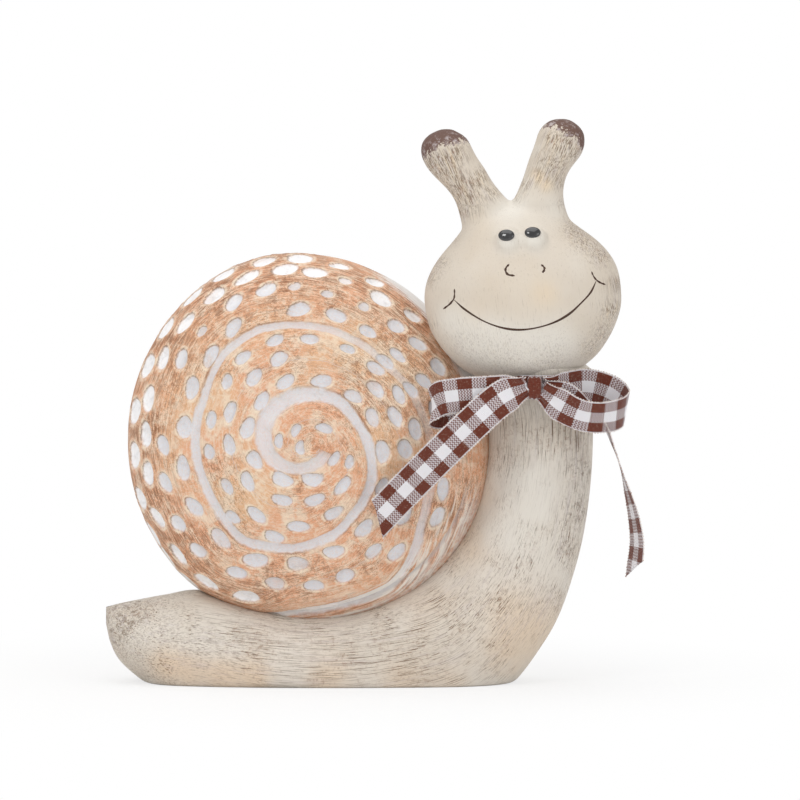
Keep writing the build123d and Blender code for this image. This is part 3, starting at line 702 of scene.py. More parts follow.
def shell_material():
    """Peach ground, dry brushing along the whorls, chalk in every recess."""
    paint = Paint("peach_ceramic")
    brush, place = paint.vector("brush"), paint.place()
    fine, broad = paint.noise(brush, 1.5, 4.0, 0.7), paint.noise(brush, 0.5, 3.0, 0.6)
    scrawl = paint.noise(paint.stretch(brush, (3.4, 3.4, 0.55)), 1.0, 3.0, 0.6)
    scratch = paint.noise(paint.stretch(brush, (5.0, 5.0, 1.0)), 1.0, 3.0, 0.65)
    streak = paint.noise(paint.stretch(brush, (0.5, 0.5, 0.55)), 1.0, 3.0, 0.6)
    patch, blotch = paint.noise(place, 34.0, 2.0, 0.5), paint.noise(place, 60.0, 3.0, 0.6)
    cloud, crumb = paint.noise(place, 170.0, 3.0, 0.6), paint.noise(place, 420.0, 3.0, 0.7)
    speck = paint.noise(place, 1100.0, 2.0, 0.6)
    rim, worn = paint.attribute("rim"), paint.attribute("worn")
    # white is the painted highlight of the rim's chalk; collar_white is the cream wash at the collar.
    white, collar_white = colour(250, 250, 251), colour(241, 240, 238)

    brown = fine.between(0.48, 0.62) * (
        blotch.between(0.38, 0.66) * 0.4 + rim.between(0.7, 1.0) * 0.3 + worn * 0.3 + 0.1
    )
    dark = scratch.hairline(0.46, 0.006, 0.026) * (blotch.between(0.38, 0.6) * 0.75 + worn * 0.6 + 0.12)
    oval = paint.attribute("oval") + crumb.beyond_half(0.34) + blotch.beyond_half(0.3)
    between_ovals = oval.between(1.2, 1.5) * oval.until(1.7, 2.6) * (rim.between(0.68, 0.95) * 0.7 + worn * 0.3)
    halo = oval.between(0.98, 1.06) * oval.until(1.12, 1.36) * crumb.between(0.38, 0.6)
    ground = paint.layers(
        paint_of("peach"),
        (patch.between(0.44, 0.64) * rim.until(0.6, 1.0) * 0.7, "amber"),
        (cloud.between(0.48, 0.62) * (rim.until(0.5, 1.0) * 0.4 + 0.25), "straw"),
        (broad.between(0.5, 0.68) * 0.5, "straw"),
        (crumb.between(0.5, 0.62) * 0.45, "straw"),
        (fine.until(0.32, 0.44) * 0.55, "straw"),
        (brown, "umber"),
        (scrawl.hairline(0.5, 0.006, 0.024) * 0.5, "straw"),
        (crumb.until(0.36, 0.44) * (blotch.between(0.4, 0.6) * 0.5 + worn * 0.3), "umber"),
        (dark, "umber"),
        (speck.between(0.58, 0.7) * (worn * 0.4 + 0.16), "umber"),
        (between_ovals * fine.between(0.42, 0.56) * 0.8, "umber"),
        (halo * 0.75, "straw"),
    )
    chalk = paint.layers(
        paint_of("chalk"),
        # Painted highlight: whiter chalk towards the shell's rim.
        (rim.between(0.8, 0.93) * 0.9, white),
        # Painted shade: grey mottling in the recessed chalk.
        (crumb.between(0.46, 0.72) * 0.3, "recess_shade"),
        (speck.between(0.5, 0.7) * 0.18, "straw"),
        (scratch.hairline(0.5, 0.004, 0.02) * rim.until(0.7, 0.95) * 0.4, "peach"),
    )
    filled = paint.attribute("oval_paint").between(0.1, 0.9) - blotch.between(0.55, 0.7) * 0.3
    # edge: the inner rim of each oval on its side away from the light, where painted shadow goes.
    edge = oval.between(0.88, 0.98) * oval.until(1.0, 1.1) * paint.attribute("oval_lit").between(-0.8, 0.4)
    band, strength = paint.attribute("band"), paint.attribute("band_strength")
    in_band = (band.size() + crumb.beyond_half(0.9) + blotch.beyond_half(0.9)).until(0.65, 1.2)
    band_edge = (band + crumb.beyond_half(0.5)).between(0.8, 1.0) * band.until(1.05, 1.3)
    fold, power = paint.attribute("fold") + blotch.beyond_half(2.4), paint.attribute("fold_strength")
    near_fold = fold.size().until(2.0, 7.0) * power
    collar = paint.attribute("collar") + fine.beyond_half(4.0) + blotch.beyond_half(2.0)
    coat = paint.layers(
        ground,
        (oval.until(0.8, 1.08) * filled * 0.96, chalk),
        # Painted shadow on the oval walls that face away from the light, from oval_lit.
        (edge * scratch.between(0.36, 0.56) * 0.55, "shade"),
        (in_band * strength * 0.9, chalk),
        (band_edge * strength * blotch.between(0.4, 0.62) * 0.55, "umber"),
        # Painted shade: mauve under the lip, beyond its fold.
        (fold.between(-1.0, 2.5) * power * broad.between(0.36, 0.6) * 0.6, "mauve"),
        (fold.between(0.5, 3.5) * power * crumb.between(0.4, 0.6) * 0.4, "milk"),
        (streak.between(0.5, 0.58) * near_fold * 0.7, "milk"),
        (streak.until(0.38, 0.46) * near_fold * 0.5, "umber"),
        # Painted shade in the crease of the lip's fold.
        ((fold + fine.beyond_half(2.5)).size().until(0.2, 1.0) * power * 0.5, "recess_shade"),
        (collar.until(-0.8, 0.8) * 0.9, collar_white),
    )
    normal = paint.bump(fine * 0.35 + broad * 0.2 + crumb * 0.3 + speck * 0.15, 0.0006, 0.6)
    return paint.finish(Base_Color=coat, Roughness=fine * 0.2 + 0.52, Normal=normal, Specular_IOR_Level=CERAMIC_SHINE)


# The body: sections that fan round the shell from the tail to the neck.
# Each is (ray from the shell's axis in degrees, share of the shell's radius, turn in degrees,
# share of the foot's height, share of the foot's width, share of the neck's step forward).
BODY_SECTIONS = (
    (140.6, 1.455, 90, 0.17, 0.17, 0), (140.2, 1.432, 90, 0.36, 0.34, 0), (139.3, 1.386, 90, 0.55, 0.50, 0),
    (137.1, 1.298, 90, 0.75, 0.66, 0), (133.2, 1.175, 90, 0.99, 0.79, 0), (126.4, 1.034, 90, 1.12, 0.90, 0),
    (110.9, 0.96, 90, 1.05, 0.975, 0), (90, 0.946, 90, 0.98, 1.0, 0), (70, 0.946, 80, 1.11, 1.0, 0),
    (50, 0.946, 66, 1.42, 0.95, 0), (35, 0.946, 49, 1.32, 0.86, 0.10), (22, 0.946, 33, 1.16, 0.79, 0.25),
    (8, 0.946, 12, 1.035, 0.74, 0.50), (-6, 0.96, -3, 1.005, 0.72, 0.80),
)  # fmt: skip
NECK_FORWARD = 11.4
NECK_FOOT = np.array([65.2, -NECK_FORWARD, 84.5])
NECK_LEAN = radians(16)
NECK_UP = np.array([0, -sin(NECK_LEAN) / cos(NECK_LEAN), 1])
BAND_HEIGHT = 7.5
NECK_GAP = 0.3                  # between the neck and its band
NECK_INTO_HEAD = 6              # shares of NECK_UP
NECK_TOP = NECK_FOOT + NECK_UP * BAND_HEIGHT
NECK_HALF_WIDTH, NECK_HALF_DEPTH = 15.1, 15.0

# Worn and warm places of the body, as blots
BODY_WEAR_PX = (
    (110, 606, 13, 1.6), (128, 600, 14, 1.0), (114, 632, 12, 0.9), (150, 628, 24, 0.4), (190, 645, 24, 0.35),
    (235, 645, 26, 0.45), (290, 655, 30, 0.4), (350, 650, 30, 0.4), (410, 650, 30, 0.35), (582, 425, 14, 1.0),
    (580, 470, 12, 1.1), (577, 510, 12, 1.0), (568, 548, 11, 0.8), (520, 415, 14, 0.5), (500, 450, 9, 0.4),
    (545, 440, 14, 0.3), (500, 590, 22, 0.35), (530, 610, 20, 0.3), (460, 620, 26, 0.4), (555, 600, 14, 0.3),
)  # fmt: skip
BODY_WARM_PX = (
    (165, 662, 14, 0.6), (190, 670, 14, 0.7), (222, 674, 14, 0.8), (255, 676, 14, 0.7), (330, 680, 18, 0.5),
    (400, 682, 18, 0.5), (450, 683, 14, 0.4), (300, 630, 40, 0.15), (486, 500, 16, 0.5), (470, 545, 18, 0.45),
    (420, 600, 24, 0.4), (545, 620, 26, 0.4), (510, 650, 30, 0.4), (505, 600, 26, 0.3),
)  # fmt: skip


def body_rings(sizes):
    """Middle, direction of the first half axis and both half axes, for every ring of the body."""
    shell = bpy.context.scene.snail_shell
    centre = np.array([0, 0, shell.rim_height + shell.radius])
    rows = []
    for ray, share, turn, height_share, width_share, forward in BODY_SECTIONS:
        inner = centre + np.array([cos(radians(ray)), 0, -sin(radians(ray))]) * shell.radius * share
        outward = np.array([cos(radians(turn)), 0, -sin(radians(turn))])
        height = sizes.foot_height * height_share
        middle = inner + outward * height / 2 - np.array([0, NECK_FORWARD * forward, 0])
        rows.append([*middle, *outward, height / 2, sizes.foot_width * width_share / 2])
    for middle in (NECK_FOOT, NECK_TOP, NECK_TOP + NECK_UP * NECK_INTO_HEAD):
        rows.append([*middle, 1, 0, 0, NECK_HALF_WIDTH, NECK_HALF_DEPTH])
    return smooth_through(rows, sizes.rings)


def build_body(sizes):
    """Foot, chest and neck in one skin, flat underneath, with the vent cut through."""
    rings = body_rings(sizes)
    middle, outward = rings[:, :3], unit(rings[:, 3:6])
    turn = full_turn(sizes.columns)
    p, q = rings[:, 6:7] * np.cos(turn), rings[:, 7:8] * np.sin(turn)
    points = middle[:, None] + outward[:, None] * p[..., None] + np.array([0, 1, 0]) * q[..., None]
    stroke_run, stroke_gap = 9, 0.6
    travel = np.broadcast_to(travel_along(middle)[:, None], p.shape)
    brush = np.stack([travel / stroke_run, p / stroke_gap, q / stroke_gap], axis=-1)
    ends = np.array([middle[0] + [0.04, 0, 0], middle[-1] + NECK_UP])
    points = np.concatenate([points.reshape(-1, 3), ends])
    brush = np.concatenate([brush.reshape(-1, 3), np.zeros((2, 3))])

    soft = sizes.edge_softness
    z = points[:, 2]
    points[:, 2] = np.where(z > soft, z, np.where(z < -soft, 0, (z + soft) ** 2 / (4 * soft)))
    above, fade, drawn_in = 0.5, 5, 0.4
    over_bow = np.clip((points[:, 2] - NECK_TOP[2] - above) / fade, 0, 1)
    points[:, 0] -= np.clip(points[:, 0] - NECK_TOP[0], 0, None) * over_bow * drawn_in
    seed, count, height, rate = 3, 8, 0.16, 0.14
    dice = np.random.default_rng(seed)
    waves = sum(height * np.sin(points @ dice.normal(0, rate, 3) + dice.uniform(0, 6)) for _ in range(count))
    points[:, 1] += waves * np.sign(points[:, 1]) * (points[:, 2] > 1)
    seen = seen_at(points)
    wear, warm = (np.clip(spots(*seen, places), 0, 1) for places in (BODY_WEAR_PX, BODY_WARM_PX))
    piece = make_piece(
        "washed_body", points, rings_to_faces(sizes.rings, sizes.columns), brush=brush, wear=wear, warm=warm
    )
    return cut_vent(piece, sizes)


def cut_vent(piece, sizes):
    """A round hole through the underside into a small hollow."""
    across, columns = -28.0, 48
    profile = ((sizes.vent_diameter / 2, -3), (sizes.vent_diameter / 2, 4), (11, 6), (12, 14), (6, 17))
    turn = full_turn(columns)
    rings = [
        np.stack([across + radius * np.cos(turn), radius * np.sin(turn), np.full(columns, z)], axis=-1)
        for radius, z in profile
    ]
    poles = np.array([[across, 0.0, -3.0], [across, 0.0, 17.5]])
    cutter = make_piece("vent", np.concatenate([*rings, poles]), rings_to_faces(len(profile), columns))
    work_in(piece, "DIFFERENCE", cutter)
    made_plain(piece)
    bpy.data.objects.remove(cutter)
    return piece


def washed_material():
    """Cream wash over brown: thin strokes that follow the form, worn patches and warm tints."""
    paint = Paint("washed_ceramic")
    brush, place = paint.vector("brush"), paint.place()
    fine, broad = paint.noise(brush, 1.9, 4.0, 0.7), paint.noise(brush, 0.5, 3.0, 0.6)
    streak = paint.noise(paint.stretch(brush, (0.3, 1.0, 1.0)), 2.5, 3.0, 0.62)
    blotch, group = paint.noise(place, 44.0, 3.0, 0.55), paint.noise(place, 90.0, 2.0, 0.5)
    crumb, fleck = paint.noise(place, 460.0, 3.0, 0.7), paint.noise(place, 1100.0, 2.0, 0.6)
    wear, warm = paint.attribute("wear"), paint.attribute("warm")

    lines = streak.between(0.555, 0.62) * (group.between(0.42, 0.6) * 0.5 + wear * 0.95 + 0.14)
    coat = paint.layers(
        paint_of("cream"),
        (blotch.between(0.42, 0.68) * 0.55, "sand"),
        ((warm + blotch.beyond_half(0.5)).between(0.1, 0.9) * 0.5, "blush"),
        (broad.between(0.5, 0.7) * (wear * 0.5 + 0.12), "mauve"),
        (fine.between(0.46, 0.64) * (broad.between(0.4, 0.62) * 0.12 + wear * 0.35), "stroke"),
        (lines.least(0.9), "stroke"),
        (warm * 0.12, "peach"),
        (crumb.between(0.56, 0.7) * (wear * 0.4 + 0.14), "sand"),
        (fleck.between(0.5, 0.66) * (group.between(0.45, 0.62) * 0.18 + wear * 0.2), "umber"),
        ((blotch * 0.5 + wear).until(0.2, 0.34) * 0.25, "milk"),
        (fleck.between(0.62, 0.72) * wear * 0.5, "stroke"),
        (crumb.until(0.4, 0.48) * wear.between(0.35, 1.0) * 0.5, "stroke"),
    )
    normal = paint.bump(fine * 0.5 + broad * 0.2 + crumb * 0.2 + fleck * 0.1, 0.0004, 0.45)
    return paint.finish(Base_Color=coat, Roughness=fine * 0.15 + 0.5, Normal=normal, Specular_IOR_Level=CERAMIC_SHINE)


# The head: its outline as (rise over the middle, half width), in pixels of the photograph
HEAD_OUTLINE_PX = (
    (-86, 16), (-82, 32), (-76, 46), (-68, 60), (-60, 70), (-50, 78.5), (-41, 85), (-32, 90), (-22, 94.5),
    (-12, 97.3), (8, 98.3), (20, 97), (30, 93.5), (40, 88), (50, 80), (58, 72), (65, 64), (75, 54), (84, 44),
    (90, 32), (94, 18), (95, 8),
)  # fmt: skip
HEAD_MIDDLE_PX = (523.0, 300.0)
HEAD_DEPTH = -17.2

# Middles of the eyes' beads. A side is -1 on the left of the photograph and 1 on its right.
EYES_PX = {-1: (508, 242), 1: (532.5, 240.5)}


def head_frame(sizes):
    """Middle of the head and its own right and up directions."""
    across, up = photo_place(*HEAD_MIDDLE_PX, HEAD_DEPTH)
    c, s = cos(radians(sizes.roll)), sin(radians(sizes.roll))
    return np.array([across, HEAD_DEPTH, up]), np.array([c, 0, s]), np.array([-s, 0, c])


# Each antenna from its tip down into the head, as (pixel down, left edge, right edge)
ANTENNAE_PX = {
    -1: (
        (130.4, 441, 452), (131.8, 437, 455), (134.6, 431, 460), (137.4, 427, 464.5), (141, 423.5, 468),
        (145.5, 421.3, 470.3), (150, 420.6, 472.5), (155, 420.8, 475), (160, 422.2, 478), (165, 424.6, 481.5),
        (170, 427.8, 485), (175, 432, 487.7), (180, 436.8, 490.7), (185, 442, 494), (190, 446.8, 498),
        (195, 450.8, 502.3), (200, 453.8, 507), (206, 456.3, 512.5), (214, 458.5, 517), (224, 461, 521),
        (235, 464, 521),
    ),
    1: (
        (120.4, 554, 567), (121.8, 549.5, 570.5), (124.6, 545, 575), (127.4, 542, 578.3), (131, 539.2, 581.3),
        (135.6, 537, 583.4), (140, 535.6, 584.2), (145, 534, 584), (150, 532.2, 583), (155, 530.3, 581),
        (160, 528.4, 577.5), (165, 526.7, 573.4), (170, 525.2, 569.8), (175, 523.6, 567), (180, 521.8, 565),
        (185, 519.8, 563.7), (190, 517.8, 563), (195, 515.6, 562.8), (200, 513, 563.2), (206, 509.5, 564.4),
        (214, 506.5, 567), (224, 504, 570), (235, 504, 571),
    ),
}  # fmt: skip
ANTENNAE_END_PX, ANTENNAE_PARTING_PX, ANTENNA_LEAN = 206, 512, 22

# Lower edge of the brown cap on each knob
CAP_EDGES_PX = {
    -1: ((418, 166), (428, 157), (437, 149.5), (445.5, 146), (454, 144), (463, 142), (476, 146)),
    1: ((532, 131), (542, 129), (555, 128), (564, 135.5), (576, 139), (581, 151), (588, 158)),
}


def antenna_solid(sizes, side):
    """One antenna in level slices: a round knob, a leaning stalk and a flared root."""
    slices, columns, knob_ends = 60, 56, 160
    rows = []
    for py, left, right in ANTENNAE_PX[side]:
        x0, z = photo_place(left, py, HEAD_DEPTH)
        x1, _ = photo_place(right, py, HEAD_DEPTH)
        half = (x1 - x0) / 2
        rows.append([(x0 + x1) / 2, z, half, min(half, sizes.knob_radius) * (0.97 if py < knob_ends else 0.92)])
    rows = smooth_through(rows, slices)
    x, z, half_width, half_depth = (rows[:, k : k + 1] for k in range(4))
    turn = full_turn(columns)
    points = np.stack([x + half_width * np.cos(turn), HEAD_DEPTH + half_depth * np.sin(turn), z + turn * 0], axis=-1)
    tips = [[rows[0, 0], HEAD_DEPTH, rows[0, 1] + 0.08], [rows[-1, 0], HEAD_DEPTH, rows[-1, 1] - 0.5]]
    points = np.concatenate([points.reshape(-1, 3), tips])
    return make_piece("antenna_form", points, rings_to_faces(slices, columns))


def eye_middle(sizes, side):
    """Middle of an eye's bead, which stands half out of the forehead."""
    depth = HEAD_DEPTH - sizes.depth * 0.33
    across, up = photo_place(*EYES_PX[side], depth)
    return np.array([across, depth, up])


def ball_solid(name, middle, half_axes, rings=24, columns=36):
    """A ball or an egg with a pole at its top and at its bottom."""
    tilt = np.linspace(0, pi, rings + 2)[1:-1, None]
    turn = full_turn(columns)[None]
    ball = np.stack([np.sin(tilt) * np.cos(turn), np.sin(tilt) * np.sin(turn), np.cos(tilt) + turn * 0], axis=-1)
    ball = np.concatenate([ball.reshape(-1, 3), [[0, 0, 1], [0, 0, -1]]])
    return make_piece(name, ball * half_axes + middle, rings_to_faces(rings, columns))


def build_head(sizes):
    """Head, antennae and eye beads worked into one another, as wet clay is."""
    middle, right, up = head_frame(sizes)
    slices, columns, roundness = 90, 96, 0.94
    rows = smooth_through(np.array(HEAD_OUTLINE_PX) * PIXEL, slices)
    for _ in range(6):
        rows[1:-1] = (rows[:-2] + rows[1:-1] * 2 + rows[2:]) / 4
    turn = full_turn(columns)
    x = rows[:, 1:2] * bulged(np.cos(turn), roundness)
    y = rows[:, 1:2] * sizes.depth / sizes.width * bulged(np.sin(turn), roundness)
    points = middle + x[..., None] * right + y[..., None] * np.array([0, 1, 0]) + rows[:, :1, None] * up
    poles = middle + np.array([rows[0, 0] - 0.5, rows[-1, 0] + 0.3])[:, None] * up
    points = np.concatenate([points.reshape(-1, 3), poles])
    head = make_piece("painted_head", points, rings_to_faces(slices, columns))
    helpers = [antenna_solid(sizes, side) for side in (-1, 1)]
    helpers += [ball_solid("eye_form", eye_middle(sizes, side), sizes.eye_radius) for side in (-1, 1)]
    for helper in helpers:
        work_in(head, "UNION", helper)
    remesh = head.modifiers.new("remesh", "REMESH")
    remesh.mode, remesh.voxel_size = "VOXEL", sizes.fineness * MM
    made_plain(head)
    for helper in helpers:
        bpy.data.objects.remove(helper)
    blend_seams(head, sizes)
    dress_head(head, sizes)
    return head


def seen_at(points):
    """The photograph's pixels at which points of the object show."""
    rise = radians(CAMERA_RISE)
    down = AXIS_PX[1] - (points[:, 2] * cos(rise) + points[:, 1] * sin(rise)) / PIXEL
    return AXIS_PX[0] + points[:, 0] / PIXEL, down


def blend_seams(head, sizes):
    """Smooths the clay where the antennae and the eyes meet the head."""
    points = points_of(head)
    _, py = seen_at(points)
    rounds, first_rounds, everywhere, first_strength = 30, 6, 0.25, 0.6
    root_row, root_spread = 216, 13
    weight = everywhere + 0.45 * np.exp(-(((py - root_row) / root_spread) ** 2))
    for side in (-1, 1):
        eye = eye_middle(sizes, side)
        apart = np.linalg.norm(points - eye, axis=1) - sizes.eye_radius
        seam = np.exp(-(((points[:, 1] - eye[1] + 1.2) / 1.3) ** 2)) * np.exp(-((apart / 1.1) ** 2))
        weight = np.maximum(weight, seam * 0.6)
    edges = np.empty(len(head.data.edges) * 2, int)
    head.data.edges.foreach_get("vertices", edges)
    edges = edges.reshape(-1, 2)
    count = np.bincount(edges.ravel(), minlength=len(points))[:, None]
    for step in range(rounds):
        total = np.zeros_like(points)
        np.add.at(total, edges[:, 0], points[edges[:, 1]])
        np.add.at(total, edges[:, 1], points[edges[:, 0]])
        first = step < first_rounds
        strength = np.maximum(weight, first_strength) if first else weight
        strength = np.where(weight <= everywhere, first_strength * first, strength)
        points += (total / count - points) * strength[:, None] * 0.8
    put_points(head, points)


# Worn, warm and pale places of the head, as blots. The pale blots are partly a whiter wash and partly painted light,
# which lifts the shade under the head and on the eye beads.
HEAD_WEAR_PX = (
    (616, 285, 6, 0.8), (612, 310, 8, 0.8), (604, 335, 8, 0.6), (590, 350, 8, 0.4), (583, 240, 9, 0.6),
    (600, 256, 8, 0.6), (572, 228, 7, 0.5), (428, 278, 6, 0.7), (438, 262, 7, 0.6), (452, 238, 5, 0.5),
    (430, 325, 6, 0.3), (500, 365, 20, 0.2), (550, 362, 14, 0.25), (462, 345, 14, 0.15), (470, 188, 9, 0.75),
    (430, 165, 8, 0.9), (444, 166, 8, 0.95), (457, 155, 7, 0.9), (452, 178, 8, 0.6), (456, 195, 7, 0.7),
    (460, 214, 6, 0.75), (482, 176, 5, 0.7), (492, 194, 5, 0.6), (474, 205, 8, 0.4), (551, 140, 6, 0.8),
    (562, 146, 7, 0.9), (573, 152, 7, 0.9), (543, 160, 7, 0.5), (556, 168, 7, 0.6), (560, 184, 5, 0.6),
    (525, 185, 5, 0.6), (534, 176, 5, 0.4), (516, 198, 4, 0.4), (545, 180, 6, 0.5), (562, 205, 4, 0.5),
)  # fmt: skip
HEAD_WARM_PX = (
    (546, 295, 12, 0.4), (530, 300, 26, 0.25), (472, 312, 14, 0.2), (536, 176, 5, 0.9), (545, 186, 6, 0.8),
    (480, 222, 12, 0.3), (500, 270, 34, 0.18), (465, 192, 8, 0.4),
)  # fmt: skip
HEAD_PALE_AND_LIGHT_PX = (
    (507, 244, 9, 0.75), (534, 242, 9, 0.75), (520, 210, 18, 0.4), (496, 214, 12, 0.3), (512, 205, 8, 0.4),
    (480, 348, 22, 0.8), (515, 362, 24, 0.8), (556, 350, 22, 0.7), (450, 320, 14, 0.5), (522, 180, 6, 0.5),
    (578, 262, 14, 0.25), (555, 210, 12, 0.4), (535, 150, 6, 0.4), (600, 300, 10, 0.2),
)  # fmt: skip


def dress_head(head, sizes):
    """Stroke directions, wear, blush, pale places with painted light, and the knobs' caps for the head's paint."""
    points = points_of(head)
    middle, right, up = head_frame(sizes)
    local = points - middle
    brush = np.stack([local @ up / 7, local @ right / 0.6, local[:, 1] / 0.6], axis=-1)
    px, py = seen_at(points)
    cap = np.full(len(points), -20.0)
    for side in (-1, 1):
        mine = (py < ANTENNAE_END_PX) & ((px - ANTENNAE_PARTING_PX) * side > 0)
        lean = radians(side * ANTENNA_LEAN)
        along = points[:, 2] * cos(lean) + points[:, 0] * sin(lean)
        across = points[:, 0] * cos(lean) - points[:, 2] * sin(lean)
        brush[mine] = np.stack([along / 6, across / 0.55, points[:, 1] / 0.55], axis=-1)[mine]
        cap[mine] = ((np.interp(px, *zip(*CAP_EDGES_PX[side])) - py) * PIXEL)[mine]
    wear, warm, pale = (
        np.clip(spots(px, py, places), 0, 1) for places in (HEAD_WEAR_PX, HEAD_WARM_PX, HEAD_PALE_AND_LIGHT_PX)
    )
    rear = np.clip(points[:, 1] - HEAD_DEPTH, 0, 12) / 12
    wear = np.maximum(wear, rear * 0.3)
    add_values(head.data, brush=brush, wear=wear, warm=warm, pale=pale, cap=cap)


def head_material():
    """The cream wash of the head, with worn brown caps on the antennae's knobs."""
    paint = Paint("washed_head")
    brush, place = paint.vector("brush"), paint.place()
    fine, broad = paint.noise(brush, 1.7, 4.0, 0.7), paint.noise(brush, 0.5, 3.0, 0.6)
    blotch, crumb = paint.noise(place, 42.0, 3.0, 0.55), paint.noise(place, 520.0, 3.0, 0.7)
    fleck = paint.noise(place, 1300.0, 2.0, 0.65)
    wear, warm, pale, cap = (paint.attribute(name) for name in ("wear", "warm", "pale", "cap"))

    lines = fine.between(0.49, 0.56) * wear + fine.between(0.58, 0.66) * 0.2
    edge = cap + crumb.beyond_half(8.0) + fleck.beyond_half(5.0) + fine.beyond_half(5.0)
    worn_cap = paint.layers(paint_of("cap"), (crumb.between(0.5, 0.7) * cap.until(0.0, 6.5) * 0.8, "mauve"))
    coat = paint.layers(
        paint_of("cream"),
        (blotch.between(0.36, 0.64) * 0.35 + 0.65, "sand"),
        # Pale: whiter wash on the forehead, and painted light under the head and on the eye beads.
        ((pale + blotch.beyond_half(0.3)).between(0.0, 0.8) * 0.6, "milk"),
        ((warm + blotch.beyond_half(0.4)).between(0.05, 1.0) * 0.6, "blush"),
        (broad.between(0.46, 0.7) * (wear * 0.5 + 0.05), "mauve"),
        (broad.until(0.3, 0.46) * wear * 0.5, "blush"),
        (lines.least(0.72), "stroke"),
        (fleck.between(0.56, 0.7) * wear * 0.45, "stroke"),
        (crumb.between(0.52, 0.66) * wear * 0.35, "umber"),
        (edge.between(-0.3, 0.5) * 0.94, worn_cap),
    )
    normal = paint.bump(fine * 0.5 + broad * 0.3 + fleck * 0.2, 0.0004, 0.4)
    return paint.finish(Base_Color=coat, Roughness=fine * 0.15 + 0.5, Normal=normal, Specular_IOR_Level=CERAMIC_SHINE)


# The lines of the face, as strokes of (half width in mm, pixels from end to end)
FACE_STROKES_PX = (
    (0.33, ((453.2, 299.9), (465, 310.4), (482, 321), (499.5, 327.7), (516.7, 330.2), (534, 328.6),
            (553, 323), (568.4, 314.3), (579.8, 303.8), (589.4, 293.2), (595.1, 281.7))),
    (0.3, ((454, 289.4), (454.2, 295), (453.2, 299.9), (449, 305), (443, 309.5))),
    (0.3, ((590.4, 272.2), (592.5, 277), (595.5, 280.8), (599.5, 283.4), (604.3, 285.2))),
    (0.34, ((508.6, 265), (505.4, 268.5), (505, 272), (507.5, 275.4), (514, 276.6))),
    (0.34, ((540.4, 265.3), (543.4, 268.6), (543, 271.4), (541.4, 273.4))),
)  # fmt: skip


def surface_finder(piece):
    """Looks at a piece as the photograph does, and gives the first skin met and its normal."""
    piece.data.calc_loop_triangles()
    corners = [tuple(t.vertices) for t in piece.data.loop_triangles]
    tree = BVHTree.FromPolygons([v.co / MM for v in piece.data.vertices], corners)
    before = -200
    ray = Vector((0, cos(radians(CAMERA_RISE)), -sin(radians(CAMERA_RISE))))

    def find(px, py):
        x, z = photo_place(px, py, before)
        place, normal, _, _ = tree.ray_cast(Vector((x, before, z)), ray)
        return np.array(place), np.array(normal)

    return find


def build_face_lines(head):
    """Thin painted strokes that lie in the skin and taper at both ends."""
    find = surface_finder(head)
    section = ((-1, -0.04), (-0.55, 0.05), (0, 0.08), (0.55, 0.05), (1, -0.04), (0, -0.2))
    all_points, all_faces = [], []
    for half_width, pixels in FACE_STROKES_PX:
        path = smooth_through(pixels, len(pixels) * 9)
        places, normals = (np.array(found) for found in zip(*(find(px, py) for px, py in path)))
        normals = unit(smooth_through(normals[::4], len(path)))
        across = unit(np.cross(np.gradient(places, axis=0), normals))
        share = np.linspace(0, 1, len(path))
        wide = half_width * np.clip(np.minimum(share, 1 - share) * 9 + 0.25, 0, 1)
        wide *= 1 + 0.25 * np.sin(share * 21) + 0.2 * share
        ring = [places + across * (wide * a)[:, None] + normals * b for a, b in section]
        points = np.concatenate([np.stack(ring, axis=1).reshape(-1, 3), places[:1], places[-1:]])
        base = sum(len(p) for p in all_points)
        faces = turned_outward(points, rings_to_faces(len(path), len(section)))
        all_points.append(points)
        all_faces += [tuple(base + i for i in face) for face in faces]
    return make_piece("face_lines", np.concatenate(all_points), all_faces)


def ink_material():
    """Brown ink of the face, thinner in specks."""
    paint = Paint("face_ink")
    speck = paint.noise(paint.place(), 1500.0, 2.0, 0.6)
    coat = paint.mix(speck.between(0.55, 0.75) * 0.5, paint_of("ink"), paint_of("stroke"))
    return paint.finish(Base_Color=coat, Roughness=0.6, Specular_IOR_Level=0.3)


# Middle, width and height of each pupil
PUPILS_PX = {"left": (505.6, 236.2, 16.5, 12.0), "right": (531.8, 233.4, 16.2, 11.8)}


def build_pupil(name, head):
    """A thick drop of black glaze lying on the eye's bead."""
    px, py, wide, high = PUPILS_PX[name]
    half_thick, sunk = 0.75, 0.1
    place, normal = surface_finder(head)(px, py)
    normal = normal * 0.6 + np.array([0, -1, 0.09]) * 0.4
    normal /= np.linalg.norm(normal)
    side = np.cross(np.array([0, 0, 1.0]), normal)
    side /= np.linalg.norm(side)
    top = np.cross(normal, side)
    piece = ball_solid(f"pupil_{name}_glaze", np.zeros(3), 1.0, 20, 32)
    ball = points_of(piece)
    x, y, z = (ball[:, k : k + 1] for k in range(3))
    points = place + (side * x * wide + top * z * high) * PIXEL / 2 - normal * (y * half_thick + sunk)
    if np.dot(np.cross(side, -normal), top) < 0:
        piece.data.flip_normals()
    put_points(piece, points)
    return piece


def glaze_material():
    """Black gloss of the pupils under a clear coat."""
    paint = Paint("black_gloss")
    cloud = paint.noise(paint.place(), 700.0, 2.0, 0.5)
    coat = paint.mix(cloud.between(0.45, 0.75), colour(15, 14, 16), colour(40, 38, 40))
    return paint.finish(Base_Color=coat, Roughness=0.12, Coat_Weight=1.0, Coat_Roughness=0.03)


